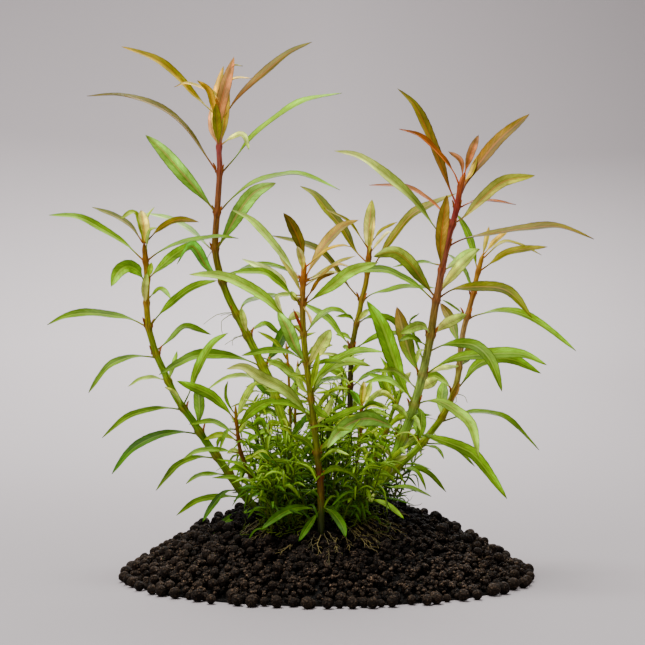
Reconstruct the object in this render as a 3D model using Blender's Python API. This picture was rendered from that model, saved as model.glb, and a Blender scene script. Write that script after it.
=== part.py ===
"""Long leafy stems grown under water and planted in a free-standing heap of round soil granules.

Metres, +Z up. The origin is the centre of the heap's flat underside. Seen from the front, +X is
right and -Y is near. The plant's lines are listed as they are seen from the front: (right, up)
in millimetres at the distance of the heap's axis, with how far each lies in front of that axis.
"""

import math
import random

import bmesh
import bpy
import numpy as np
from mathutils import Vector

MM = 0.001

# The point that the front view is taken from, and how far in front of the heap's axis it is
EYE_DISTANCE = 600.0
EYE_RIGHT = -1.5
EYE_UP = 84.5

# The heap: its size and how fast it falls away to the rim, then its lumps, which rise and sink
# in turn by a share of their full height, a little off an even spacing
HEAP_RADIUS = 68.6
HEAP_HEIGHT = 28.5
HEAP_FALL = 1.75
HEAP_RINGS = 11
LUMP_HEIGHT = 1.0
LUMP_SHARES = (0.3, 1.0)
LUMP_SINK = 0.4
LUMP_TURN_SPREAD = 0.2
LUMP_RADIUS_SPREAD = 0.6
RIM_HEIGHT = 2.2
UNDERSIDE_SHARE = 0.985
HEAP_SEED = 11

# How deep a stem stands in the soil, and the gap around it
PLANT_DEPTH = 7.0
GAP = 0.35

# Stems: the skin is wider at a joint, and narrows again just below it
STEM_SIDES = 5
JOINT_SWELLING = 1.3
JOINT_HALF_LENGTH = 2.0
JOINT_CLEARANCE = 3.6
JOINT_TOUCH = 0.5

# Leaves: a long leaf is wider. The stalk is a share of the length and of the width. The blade is
# widest a little past its middle, and takes its full twist over the first part of its length.
LEAF_WIDTH_AT_ZERO = 0.9
LEAF_WIDTH_PER_LENGTH = 0.085
LEAF_HALF_THICKNESS = 0.32
LEAF_GUTTER = 0.16
LEAF_STATIONS = 7
SMALL_LEAF_STATIONS = 4
STALK_SHARE = 0.12
STALK_WIDTH = 0.2
BLADE_SKEW = 0.85
BLADE_FULLNESS = 0.62
SEEN_SHARE = 1.04
SEEN_EXTRA = 0.35
TWIST_SHARE = 0.3
TWIST_LIMIT = math.pi / 2 + 0.01
CURVE_STEPS = 12

# Each long stem: its line from the tip down to the soil as (right, up), how near the tip and
# the foot are, its radius at the tip and the foot, and the heights of its joints.
STEMS = {
    "tall_left": {
        "line": [(-35, 156), (-36, 143), (-35.8, 135), (-36.7, 121), (-37.3, 109), (-35.5, 100),
                 (-33, 93), (-29.5, 86), (-26.5, 80), (-22.5, 72), (-19, 65), (-16.5, 57),
                 (-14, 50), (-12, 43), (-10.5, 37), (-9, 30)],
        "near": (-18, -5), "radius": (0.9, 1.75),
        "joints": [143, 134.5, 121, 109, 98, 87, 80, 70, 59, 50],
    },
    "far_left": {
        "line": [(-61, 111), (-60.5, 105), (-60, 99), (-60.2, 91), (-59.5, 83), (-58.5, 79),
                 (-57, 74), (-55, 69.5), (-53, 65), (-50.5, 60), (-48, 56), (-45, 52),
                 (-42.5, 48), (-39.5, 43.5), (-36.5, 39.5), (-33, 34.5), (-30, 30), (-27, 26),
                 (-24, 22.5)],
        "near": (8, 2), "radius": (0.95, 1.45),
        "joints": [105, 99, 91, 83, 74, 65, 56, 48, 40, 34],
    },
    "centre_front": {
        "line": [(-7.5, 105), (-8, 98), (-8.2, 90), (-7.8, 80), (-6.8, 70), (-5.5, 60), (-4.3, 50),
                 (-3.2, 40), (-2.2, 30), (-2, 20), (-2, 16)],
        "near": (26, 35), "radius": (0.95, 1.2),
        "joints": [98, 90.5, 80.5, 71, 59, 50, 41, 33],
    },
    "centre_back": {
        "line": [(14.3, 111), (13.5, 102), (12.8, 97), (11.5, 92), (10.8, 88), (9.8, 84), (9, 80),
                 (8.3, 76), (7.8, 66), (7.6, 55), (7.3, 45), (7, 38), (6.5, 32), (6, 27)],
        "near": (-30, -10), "radius": (0.92, 1.1),
        "joints": [106, 101.5, 92, 84, 76, 63.5, 55],
    },
    "tall_right": {
        "line": [(46, 134.5), (44.5, 130), (43.5, 124), (42.3, 119), (40.5, 113), (39.3, 107),
                 (38, 101), (37, 95), (36, 90), (34.5, 80), (33.3, 74), (32, 68), (30.5, 62),
                 (29, 57), (27.5, 52), (25.5, 47), (23.5, 42), (20.5, 37), (17.5, 32),
                 (14.5, 27.5), (11.5, 23)],
        "near": (10, 18), "radius": (0.95, 1.85),
        "joints": [130, 123, 117, 110, 102, 92, 80, 67, 57, 46, 36],
    },
    "far_right": {
        "line": [(52, 107.5), (50.5, 102), (49.5, 98), (48.7, 94), (46.8, 87), (45.5, 82),
                 (44.7, 77), (44.2, 72), (43.7, 67), (42.5, 62), (40.5, 57), (38, 52.5),
                 (35, 48.5), (31.5, 44), (27, 39.5), (22.5, 35.5), (18.5, 31.5), (15.5, 28)],
        "near": (-14, 5), "radius": (0.85, 1.3),
        "joints": [101.5, 94, 86.5, 77, 69.5, 61.5, 53, 44.5, 36],
    },
}

# Short shoots, in the same form
SHOOTS = {
    "small_left": {
        "line": [(-30.5, 57), (-30.3, 52), (-29.7, 47), (-29, 42), (-27.5, 38), (-25.5, 33),
                 (-23.5, 29), (-21.5, 25.5), (-19.5, 22)],
        "near": (22, 10), "radius": (0.5, 0.85), "joints": [51, 46, 41],
    },
    "inner_left": {
        "line": [(-20.3, 49), (-20, 40), (-19.5, 35), (-18, 27)],
        "near": (0, -2), "radius": (0.55, 0.7), "joints": [40],
    },
    "thin_left": {
        "line": [(-13.7, 78), (-13, 70), (-12.5, 60), (-12.2, 50), (-12, 27)],
        "near": (-20, -15), "radius": (0.45, 0.6), "joints": [70, 60],
    },
    "thin_middle": {
        "line": [(-9.7, 72), (-10.2, 62), (-10.5, 50), (-8, 27)],
        "near": (-26, -19), "radius": (0.45, 0.6), "joints": [62],
    },
    "inner_right": {
        "line": [(25, 62), (23, 57), (21.5, 54), (20.5, 50), (18.5, 45), (16.5, 40), (14.5, 33),
                 (13.5, 27)],
        "near": (-14, -8), "radius": (0.65, 0.95), "joints": [57, 48, 40],
    },
    "inner_middle": {
        "line": [(11.5, 57), (11.2, 52), (11, 48), (10, 40), (9, 27)],
        "near": (6, 4), "radius": (0.6, 0.85), "joints": [56, 48],
    },
}

# The bush around the foot: where each shoot stands and how far its top leans, as (right, near),
# and how high it stands above the soil
BUSH = {
    "bush_front_left": {"foot": (-12, 17), "lean": (0, 7), "height": 18},
    "bush_front": {"foot": (-13.5, 28.5), "lean": (-4, 5), "height": 13.5},
    "bush_front_right": {"foot": (9, 27), "lean": (4, 5), "height": 17},
    "bush_middle": {"foot": (1, 8), "lean": (-1, 4), "height": 26},
    "bush_back_left": {"foot": (-17, -16), "lean": (-6, -6), "height": 23},
    "bush_back": {"foot": (0, -26), "lean": (-2, -8), "height": 25},
    "bush_back_right": {"foot": (18, -19), "lean": (7, -6), "height": 22},
}
BUSH_STATIONS = 4
BUSH_RADIUS = (0.45, 0.7)
# Its leaves stand in crossed pairs down the upper part of the shoot. Each pair is longer and
# rises less than the one above, and a leaf's tip lies this far (out, up) for its length.
BUSH_PAIRS = 3
BUSH_FIRST_PAIR = 0.02
BUSH_LEAFY_SHARE = 0.62
BUSH_LEAF_LENGTH = (10.5, 1.68)
BUSH_LEAF_SEEN = 2.0
BUSH_LEAF_RISE = (40.0, -8.0)
BUSH_TIP_REACH = (0.95, 0.35)
FIRST_TURN = 20.0
SHOOT_TURN = 40.0
CROSSED_TURN = 90.0
OPPOSITE_TURN = 180.0
BUSH_SOCKET_RISE = 3.0

# The large leaves of each stem, a piece each: the middle line from the stem to the tip as
# (right, up), the width that is seen (below zero where the underside is), and how much nearer
# the tip is than the stem
LEAVES = {
    "tall_left": [
        ([(-38, 152.5), (-44, 160), (-50, 166.5), (-57, 172), (-68.5, 176.5)], 2.2, 12),
        ([(-34, 152.5), (-30, 159), (-22, 166.5), (-13, 174), (-5, 178)], 2.5, -14),
        ([(-36.8, 134), (-41, 141), (-48, 150), (-56, 156), (-68, 160), (-80, 160)], 1.8, -8),
        ([(-34.8, 134), (-31, 139), (-25, 146), (-17, 152.5), (-8, 158), (5, 161)], 1.8, 8),
        ([(-37.8, 121), (-41, 126), (-48, 134), (-55, 142), (-60.5, 147)], 4.2, 24),
        ([(-35.8, 121), (-31, 126.5), (-24, 131), (-15, 133.5), (-8, 133.5), (4.3, 128.7)],
         1.5, -18),
        ([(-36, 108.5), (-33, 115), (-29, 122), (-24, 128), (-17, 131)], 4.5, 28),
        ([(-38, 108), (-42, 112), (-47, 116), (-53, 119), (-61, 121)], 1.5, -28),
        ([(-36, 98), (-40, 103), (-45, 110), (-51, 103.5)], 4.5, 26),
        ([(-22.5, 70), (-27, 72), (-34, 73.5), (-43, 73.5), (-49, 71), (-56, 67)], 2.8, 21),
    ],
    "far_left": [
        ([(-61.5, 105), (-67, 110.5), (-75, 115.5), (-83, 119.5), (-92.7, 120.3)], 1.8, 10),
        ([(-59.7, 105), (-56, 108), (-50, 110.5), (-43, 112), (-36, 113), (-29.5, 112.5)],
         1.4, -12),
        ([(-60.3, 97), (-63, 102), (-67, 103.8), (-71, 101.5), (-73.7, 96)], 4.2, 22),
        ([(-61, 83), (-65, 85.5), (-72, 86.8), (-80, 87.5), (-87, 86.5), (-93.3, 83.7)], 2, -12),
        ([(-58.5, 83), (-56, 87), (-50, 92.5), (-44, 96.5), (-36.5, 98.5)], 2.2, 12),
        ([(-58, 73), (-62, 73.3), (-67, 72.5), (-73, 69.5), (-79.5, 61)], 1.8, 14),
        ([(-46.3, 56.5), (-45.5, 62), (-43, 69), (-38.5, 77), (-33, 81)], 2.4, 16),
        ([(-43.5, 47.5), (-49, 48), (-57, 46.5), (-65, 42), (-71.7, 34)], 2.4, 14),
    ],
    "centre_front": [
        ([(-7, 99), (-3.5, 106), (0, 111.5), (5, 116.5), (10.5, 118.7)], 2.8, -16),
        ([(-6.7, 90.3), (-3, 93.5), (2, 97), (8, 101.5), (17, 104.5)], 3.2, 20),
        ([(-8.8, 98), (-11, 101.5), (-16, 108), (-21, 114), (-26, 119), (-31.7, 122)], 2.2, -10),
        ([(-9, 81), (-14, 86), (-20, 92), (-28, 97), (-36, 100), (-46, 100.5)], 2.8, 8),
        ([(-4.8, 50), (-9, 57), (-15, 62.5), (-22, 66), (-28, 69.7), (-33.5, 69)], 3.2, 8),
    ],
    "centre_back": [
        ([(12, 104.5), (9, 109), (5, 116), (0, 122), (-4, 127), (-9, 130)], 3, -20),
        ([(15, 101), (18, 107), (23, 114), (28, 120), (33, 123), (43, 127.5)], 2.6, -8),
    ],
    "tall_right": [
        ([(45, 126), (47, 132), (52, 139), (58, 146), (67.5, 154)], 3.4, -18),
        ([(43, 124), (40.5, 130), (37, 139), (33, 149), (29, 157), (23.5, 162.5)], 3, -16),
        ([(42, 117.5), (46, 120), (52, 126), (59, 131.5), (69.3, 133.5)], 3.2, 22),
        ([(38.5, 111), (35, 117.5), (28, 126), (20, 133), (11, 139.5), (2.5, 141.7)], 2.8, 16),
        ([(40.8, 110), (46, 112.5), (55, 114), (65, 115.5), (77, 116.3), (89, 112.3)], 2, 8),
        ([(38.3, 92.5), (42, 95.5), (49, 96.3), (57, 96), (62, 93.5), (68.3, 86)], 3, 18),
        ([(35, 92.5), (31.5, 99), (27, 105), (22, 108), (15.5, 106.5)], 4, 22),
        ([(34.5, 74.8), (39, 77), (45, 77.5), (50, 76.3), (54.5, 71.5), (58.3, 61.5)],
         3.3, 24),
        ([(32.7, 66.7), (37, 70), (43, 72.5), (50, 73.5), (64, 74), (73.3, 70.3)], 3, 10),
        ([(30.3, 57), (33, 58.3), (38, 58), (43, 55), (48, 50), (50.5, 39.5)], 3, 16),
        ([(27.5, 57.5), (25, 64.5), (22, 73), (18, 84), (13.3, 91.7)], 4.8, 16),
        ([(24.5, 46.5), (20, 50.5), (14, 52.5), (8, 51), (3, 47), (0, 42.5)], 4.4, 26),
        ([(27, 46), (31, 47), (37, 45.5), (45, 42.5), (50, 39), (60, 25.7)], 3, 8),
    ],
    "far_right": [
        ([(47.5, 85.5), (50, 87), (57, 88.3), (64, 87.5), (71, 84), (83, 75)], 2.2, -10),
        ([(43.5, 61.5), (46.5, 66), (49.5, 69.8), (54, 72), (62, 72), (71.3, 67.5)],
         3, -16),
    ],
}

# The small leaves, which are one solid with the stem or shoot that they grow from
SMALL_LEAVES = {
    "tall_left": [
        ([(-35.8, 143), (-36.3, 152), (-34, 163), (-31, 173)], 3.6, 4),
        ([(-33, 98.5), (-28, 102), (-20, 103.5), (-10, 101)], 1.5, -26),
        ([(-29, 87), (-27, 91), (-20, 93), (-13, 93.5)], 1.5, -28),
        ([(-26, 81), (-23, 83), (-20, 83.7), (-15.5, 80.3)], 1.5, -18),
        ([(-19.5, 70), (-17.5, 75), (-15, 80), (-12, 86)], 3.5, -24),
        ([(-18, 61), (-25, 66), (-33, 66), (-40, 62)], 1, -16),
        ([(-15.5, 56), (-20, 57), (-28, 57)], 0.8, 8),
    ],
    "far_left": [
        ([(-61, 111), (-61, 116), (-62, 122)], 3.5, 6),
        ([(-61.5, 111.5), (-65, 116), (-70, 119.5), (-78.3, 123)], 1.3, -14),
        ([(-60, 111.5), (-56, 115.5), (-50, 118.5), (-42.7, 118)], 1.8, 12),
        ([(-59.5, 99), (-56, 102.5), (-51, 107), (-44, 111.5)], 3, -22),
        ([(-55.5, 75), (-52, 79), (-47, 83), (-38.7, 80.5)], 1.7, -18),
        ([(-53.5, 65.5), (-58, 66), (-62, 65.5), (-66.3, 63.2)], 0.9, -16),
        ([(-48.5, 55.5), (-53, 56), (-60, 55), (-67, 52.5), (-75, 46)], 1.6, -12),
        ([(-42, 49.5), (-42.5, 55), (-43, 64)], 3.3, -14),
        ([(-37.5, 39.5), (-43, 39.5), (-50, 36.5), (-57, 28.5)], 1.7, -14),
        ([(-33, 34), (-38, 34), (-43, 33.3), (-47, 30.7)], 0.9, 12),
        ([(-27.5, 26.5), (-34, 26.5), (-43, 25), (-50.2, 20.2)], 1.5, -6),
    ],
    "centre_front": [
        ([(-7.5, 104), (-9, 111), (-12, 117.5), (-14.5, 121)], 3, 14),
        ([(-6, 103), (0, 108.5), (5, 110), (8, 109.7)], 0.7, 8),
        ([(-5.5, 98.5), (0, 102), (4, 104.5), (9.5, 106.7)], 0.9, -10),
        ([(-9, 90), (-12, 94), (-17, 98.5), (-22, 101.3), (-32.5, 101)], 1.8, 18),
        ([(-10, 92), (-13.5, 95), (-17, 100), (-28.3, 105.7)], 2, -18),
        ([(-6.8, 80.5), (-3.4, 85.3), (0.4, 88.3), (4, 88.5), (7.3, 87)], 1.6, -18),
        ([(-7.7, 72), (-13, 74.5), (-20, 75), (-28.5, 73.5)], 1.7, -14),
        ([(-8, 70.5), (-10.8, 77), (-13.3, 83), (-16.5, 88)], 3.7, 20),
        ([(-4, 70), (-2.5, 76), (1.3, 82.2)], 3.8, 12),
        ([(-4.6, 59), (-3.6, 64), (-1.2, 67.8), (2.7, 70.5), (8, 71.6), (14.5, 70)],
         2.6, -12),
        ([(-3.5, 22), (-9, 22.8), (-15, 20.8), (-22, 15.5)], 2, 9),
    ],
    "centre_back": [
        ([(14, 106.6), (14, 116), (15, 125.5)], 3.6, -8),
        ([(12.8, 109), (10, 114.5), (6.5, 118.5), (-1, 122.5)], 0.8, 10),
        ([(12, 91.5), (15, 94), (20, 95), (26, 96.3), (36, 96)], 1.4, 10),
        ([(10, 92), (6, 98), (0, 106), (-6, 110), (-18.7, 113.5)], 1.8, -10),
        ([(10.7, 84), (13, 85.9), (18, 86.4), (22, 85), (25, 81)], 2, -16),
        ([(7.2, 76.5), (4, 81), (0, 86), (-8, 91)], 2, -14),
        ([(9.5, 75.5), (12, 77.4), (17, 80), (23, 80.9), (27, 80.3)], 1.6, 6),
        ([(9, 63), (12, 66), (16, 68), (22, 68.5)], 1.2, -12),
        ([(6.5, 55.5), (3, 59.5), (0, 61), (-4, 61)], 1, -14),
    ],
    "tall_right": [
        ([(46.5, 134), (48, 141), (50.5, 147)], 2.2, 12),
        ([(44, 130), (42, 135), (37, 141), (31, 146.5), (24, 149)], 1.5, 12),
        ([(40.5, 118), (38.5, 121.5), (33, 126), (26, 129.5), (14, 130.3)], 1.2, -14),
        ([(38.7, 102), (38, 112), (40, 127)], 3.5, 22),
        ([(39, 101.5), (43, 104.5), (47, 107.5), (51, 109)], 2.5, -22),
        ([(35, 91.5), (31, 96), (25, 99.5), (18, 102), (6, 101)], 2, -8),
        ([(36, 79.5), (38, 83), (42, 85.3), (46.5, 87.2)], 3, -18),
        ([(30, 66.5), (28, 73), (25.8, 80), (23.3, 89.7)], 4.4, -18),
    ],
    "far_right": [
        ([(52, 107), (53, 111), (54, 116.5)], 1.2, -8),
        ([(51, 101.5), (55, 104.5), (61, 108), (73.5, 109.7)], 2, 14),
        ([(50.5, 102), (48.5, 109), (46.5, 115), (43.5, 120.5)], 2.2, -10),
        ([(48, 95), (46, 101), (43, 105), (40, 107.5)], 1.5, -20),
        ([(43.8, 76.4), (42.8, 80.5), (41, 86), (37.8, 91)], 3, -20),
        ([(44.5, 69.3), (46.3, 73), (48.7, 77.2)], 3.1, -22),
        ([(41.8, 61.5), (39, 65), (35.5, 67), (32.5, 65.5), (31, 62)], 2.4, -16),
        ([(38, 53), (38.2, 59), (39, 65)], 3.5, -18),
        ([(39.8, 51.5), (43, 53), (48, 54.5), (55, 54), (61, 51.5), (70.7, 42)], 1.2, -8),
        ([(33, 44.5), (37, 44), (42, 43), (49.3, 36.5)], 0.9, -12),
        ([(24, 36), (29, 36), (34, 34), (39.7, 28)], 1.3, -6),
    ],
    "small_left": [
        ([(-31, 52), (-35, 57), (-40, 61), (-50, 65)], 2.8, 14),
        ([(-30, 52), (-28, 58), (-25.5, 62.5), (-23, 65)], 2, -12),
        ([(-29, 49), (-26, 54), (-22, 57), (-17, 59)], 2.8, 10),
        ([(-30, 46.5), (-35, 50), (-39, 51.5), (-46, 50.5)], 1.2, -8),
        ([(-28.5, 46), (-24, 43), (-18, 39), (-14, 36)], 2.2, 10),
        ([(-29.5, 41), (-36, 42), (-43, 41.5), (-48.3, 38.7)], 1.2, 8),
    ],
    "inner_left": [
        ([(-20, 48), (-22, 52), (-25, 50)], 2, 6),
        ([(-20, 47), (-18.5, 51), (-16, 50)], 2, -6),
    ],
    "inner_right": [
        ([(21.5, 57), (19.5, 62), (17, 67)], 2, -8),
        ([(24.5, 60), (25.5, 65), (28, 68)], 2, -10),
        ([(20.5, 50), (24, 53), (28, 53.5)], 2, -8),
        ([(18.5, 45), (14, 47), (10, 45)], 2, -10),
    ],
    "inner_middle": [
        ([(12, 56), (14, 61.5), (14.5, 64.5)], 1.5, 6),
        ([(12.2, 56), (16, 57.3), (21, 55.5)], 1.5, -4),
        ([(11, 55.5), (7, 55), (4, 52)], 1.5, -6),
        ([(11, 48), (14, 51), (17, 50)], 2, 4),
    ],
}

SOIL_COLOUR = (0.028, 0.022, 0.019, 1)
STEM_COLOURS = {
    "tall_left": (0.16, 0.1, 0.03, 1),
    "far_left": (0.18, 0.15, 0.02, 1),
    "centre_front": (0.2, 0.07, 0.03, 1),
    "centre_back": (0.17, 0.09, 0.04, 1),
    "tall_right": (0.2, 0.06, 0.03, 1),
    "far_right": (0.2, 0.08, 0.04, 1),
}
SHOOT_COLOUR = (0.12, 0.2, 0.03, 1)
LEAF_COLOUR = (0.17, 0.33, 0.04, 1)


def clear_scene():
    for old in list(bpy.data.objects):
        bpy.data.objects.remove(old, do_unlink=True)


def finish_of(name, colour, roughness):
    """A plain dielectric finish."""
    material = bpy.data.materials.new(name)
    material.use_nodes = True
    shader = material.node_tree.nodes["Principled BSDF"]
    shader.inputs["Base Color"].default_value = colour
    shader.inputs["Roughness"].default_value = roughness
    shader.inputs["Metallic"].default_value = 0.0
    return material


def placed(right, up, near):
    """The point in space that is seen at (right, up) from the front and lies `near` in front of
    the heap's axis, on the same line of sight."""
    scale = 1 - near / EYE_DISTANCE
    return np.array([EYE_RIGHT + (right - EYE_RIGHT) * scale, -near,
                     EYE_UP + (up - EYE_UP) * scale])


def heap_top(x, y):
    """The height of the heap's surface, which falls away from the middle to the rim."""
    share = min(1.0, math.hypot(x, y) / HEAP_RADIUS)
    return HEAP_HEIGHT * (1 - share ** HEAP_FALL)


def smooth_line(points, count):
    """`count` points evenly spaced along the smooth (Catmull-Rom) curve through the points."""
    points = np.asarray(points, float)
    padded = np.vstack([2 * points[0] - points[1], points, 2 * points[-1] - points[-2]])
    t = np.linspace(0, 1, CURVE_STEPS, endpoint=False)[:, None]
    pieces = []
    for a, b, c, d in zip(padded, padded[1:], padded[2:], padded[3:]):
        pieces.append(0.5 * (2 * b + (c - a) * t + (2 * a - 5 * b + 4 * c - d) * t ** 2
                             + (3 * b - a - 3 * c + d) * t ** 3))
    fine = np.vstack(pieces + [points[-1:]])
    along = np.append(0, np.cumsum(np.linalg.norm(np.diff(fine, axis=0), axis=1)))
    wanted = np.linspace(0, along[-1], count)
    return np.stack([np.interp(wanted, along, fine[:, k]) for k in range(3)], axis=1)


def tangents(line):
    ahead = np.gradient(line, axis=0)
    return ahead / np.linalg.norm(ahead, axis=1)[:, None]


def object_from(name, points, faces, material, helper=False):
    """An object of one mesh. A helper is left out of the plant."""
    mesh = bpy.data.meshes.new(name)
    mesh.from_pydata([Vector(p) * MM for p in points], [], faces)
    mesh.materials.append(material)
    bm = bmesh.new()
    bm.from_mesh(mesh)
    bmesh.ops.triangulate(bm, faces=bm.faces)
    bmesh.ops.recalc_face_normals(bm, faces=bm.faces)
    bm.to_mesh(mesh)
    bm.free()
    made = bpy.data.objects.new(name, mesh)
    bpy.context.scene.collection.objects.link(made)
    if helper:
        made.hide_render = True
        made.display_type = "WIRE"
    return made


def skin(rings, closed_tip=False):
    """Points and faces of a closed skin over rings of points. The last ring may be one point."""
    sides = len(rings[0])
    points = [p for ring in rings for p in ring]
    faces = [tuple(range(sides))]
    whole = len(rings) - 1 if closed_tip else len(rings)
    for i in range(whole - 1):
        for k in range(sides):
            m = (k + 1) % sides
            faces.append((i * sides + k, (i + 1) * sides + k, (i + 1) * sides + m, i * sides + m))
    last = (whole - 1) * sides
    if closed_tip:
        tip = whole * sides
        faces += [(last + k, tip, last + (k + 1) % sides) for k in range(sides)]
    else:
        faces.append(tuple(range(last + sides - 1, last - 1, -1)))
    return points, faces


def tube(line, radii, sides=STEM_SIDES):
    """A round stem: a ring of points around each point of its line."""
    rings = []
    for centre, ahead, radius in zip(line, tangents(line), radii):
        side = np.cross(ahead, (0, 1, 0))
        side /= np.linalg.norm(side)
        front = np.cross(side, ahead)
        turns = [2 * math.pi * k / sides for k in range(sides)]
        rings.append([centre + radius * (math.cos(a) * side + math.sin(a) * front)
                      for a in turns])
    return skin(rings)


class Stem:
    """A stem's line in space, from its tip down into the soil, and its thickness."""

    def __init__(self, line, near, radius, joints):
        self.ups = [up for _, up in line]
        self.rights = [right for right, _ in line]
        self.near, self.radius, self.joints = near, radius, joints
        foot = self.at(self.ups[-1])
        run = foot - self.at(self.ups[-2])
        run = run / np.linalg.norm(run) - np.array([0, 0, 1.0])
        self.foot = foot
        self.root = foot + run / np.linalg.norm(run) * PLANT_DEPTH

    def share(self, up):
        """How far down the stem a height is, 0 at the tip and 1 at the foot."""
        return min(1.0, max(0.0, (self.ups[0] - up) / (self.ups[0] - self.ups[-1])))

    def near_at(self, up):
        return self.near[0] + (self.near[1] - self.near[0]) * self.share(up)

    def at(self, up):
        """The point of the stem's middle line that is seen at this height."""
        up = min(self.ups[0], max(self.ups[-1], up))
        return placed(np.interp(-up, [-u for u in self.ups], self.rights), up, self.near_at(up))

    def radius_at(self, up):
        plain = self.radius[0] + (self.radius[1] - self.radius[0]) * self.share(up)
        swollen = any(abs(up - joint) < JOINT_TOUCH for joint in self.joints)
        return plain * (JOINT_SWELLING if swollen else 1)

    def ring_heights(self):
        """A ring at each joint and just below it, and at the listed heights between."""
        heights = set()
        for joint in self.joints:
            heights |= {joint - JOINT_HALF_LENGTH, joint}
        heights |= {u for u in self.ups
                    if all(abs(u - joint) > JOINT_CLEARANCE for joint in self.joints)}
        heights |= {self.ups[0], self.ups[-1]}
        inside = [u for u in heights if self.ups[-1] <= u <= self.ups[0]]
        return sorted(inside, reverse=True)

    def solid(self):
        heights = self.ring_heights()
        line = np.array([self.at(up) for up in heights] + [self.root])
        radii = [self.radius_at(up) for up in heights] + [self.radius[1]]
        return tube(line, radii)

    def socket(self):
        """What the stem takes out of the soil: its foot, grown by the gap."""
        down = (self.root - self.foot) / np.linalg.norm(self.root - self.foot)
        line = np.array([self.at(self.ups[-2]), self.foot, self.root + down * GAP])
        return tube(line, [self.radius[1] + 2 * GAP] * 3)


def leaf_line(stem, points, reach, clear):
    """A leaf's middle line: from the stem's skin, or from its middle, through the listed points,
    coming nearer evenly as it goes."""
    start_up = points[0][1]
    near = stem.near_at(start_up)
    middle = stem.at(start_up)
    seen = np.array(points, float)
    steps = np.append(0, np.cumsum(np.linalg.norm(np.diff(seen, axis=0), axis=1)))
    shares = steps / steps[-1]
    rest = [placed(r, u, near + reach * s) for (r, u), s in zip(points[1:], shares[1:])]
    stem_run = stem.at(start_up + JOINT_HALF_LENGTH) - stem.at(start_up - JOINT_HALF_LENGTH)
    stem_run = stem_run / np.linalg.norm(stem_run)
    away = rest[0] - middle
    away -= stem_run * away.dot(stem_run)
    away /= np.linalg.norm(away)
    offset = stem.radius[1] * JOINT_SWELLING + GAP if clear else 0.0
    return [middle + away * offset] + rest


def leaf_roll(line, width, seen):
    """The angle that a leaf turns about its own line so that it shows the width that is seen,
    with the upper side in front unless the width is below zero."""
    ahead = tangents(line)[len(line) // 2]
    level = np.cross((0, 0, 1.0), line[-1] - line[0])
    level /= np.linalg.norm(level)
    level -= ahead * level.dot(ahead)
    level /= np.linalg.norm(level)
    upper = np.cross(ahead, level)
    across = np.cross((0, 1.0, 0), ahead)
    across /= np.linalg.norm(across)
    zero = math.atan2(upper.dot(across), level.dot(across))
    lift = math.acos(min(1.0, abs(seen) / width))
    choices = []
    for turn in (zero + lift, zero - lift, zero + math.pi + lift, zero + math.pi - lift):
        turn = (turn + math.pi) % (2 * math.pi) - math.pi
        facing = -math.cos(turn) * upper[1] + math.sin(turn) * level[1]
        wrong_side = facing * seen < 0
        choices.append((abs(turn) > TWIST_LIMIT, wrong_side, abs(turn), turn))
    return min(choices)[-1]


def leaf_solid(line, seen, stations, foot_turn=0.0):
    """A leaf: a narrow stalk, then a long pointed blade, with a low keel and a shallow gutter."""
    line = smooth_line(line, stations)
    length = np.linalg.norm(np.diff(line, axis=0), axis=1).sum()
    seen = math.copysign(SEEN_SHARE * abs(seen) + SEEN_EXTRA, seen)
    width = max(abs(seen), LEAF_WIDTH_AT_ZERO + LEAF_WIDTH_PER_LENGTH * length)
    roll = leaf_roll(line, width, seen)
    level = np.cross((0, 0, 1.0), line[-1] - line[0])
    rings = []
    for i, (centre, ahead) in enumerate(zip(line[:-1], tangents(line)[:-1])):
        s = i / (stations - 1)
        flat = level - ahead * level.dot(ahead)
        flat /= np.linalg.norm(flat)
        upper = np.cross(ahead, flat)
        turn = roll * min(1.0, foot_turn + s / TWIST_SHARE)
        flat, upper = (flat * math.cos(turn) + upper * math.sin(turn),
                       upper * math.cos(turn) - flat * math.sin(turn))
        blade = max(0.0, (s - STALK_SHARE) / (1 - STALK_SHARE))
        outline = math.sin(math.pi * blade ** BLADE_SKEW) ** BLADE_FULLNESS
        half = width / 2 * max(STALK_WIDTH, outline)
        lift = upper * half * LEAF_GUTTER
        keel = upper * LEAF_HALF_THICKNESS
        rings.append([centre + flat * half + lift, centre + keel,
                      centre - flat * half + lift, centre - keel])
    return skin(rings + [[line[-1]]], closed_tip=True)


def build_stem(name, stem, materials, prefix):
    """A stem, or shoot, with its small leaves joined to it."""
    node = f"{prefix}_{name}"
    finish = materials.get(name, materials["shoot"])
    made = object_from(node, *stem.solid(), finish)
    small = bpy.data.collections.new(f"small leaves of {node}")
    bpy.context.scene.collection.children.link(small)
    for number, (points, seen, reach) in enumerate(SMALL_LEAVES.get(name, []), 1):
        line = leaf_line(stem, points, reach, clear=False)
        solid = leaf_solid(line, seen, SMALL_LEAF_STATIONS, foot_turn=1.0)
        move_into(small, object_from(f"{node}.leaf_{number}", *solid, finish, True))
    if small.objects:
        join_all(made, small)
    return made


def move_into(collection, helper):
    bpy.context.scene.collection.objects.unlink(helper)
    collection.objects.link(helper)


def join_all(made, collection):
    join = made.modifiers.new("grown together", "BOOLEAN")
    join.operation = "UNION"
    join.solver = "EXACT"
    join.operand_type = "COLLECTION"
    join.collection = collection


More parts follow.
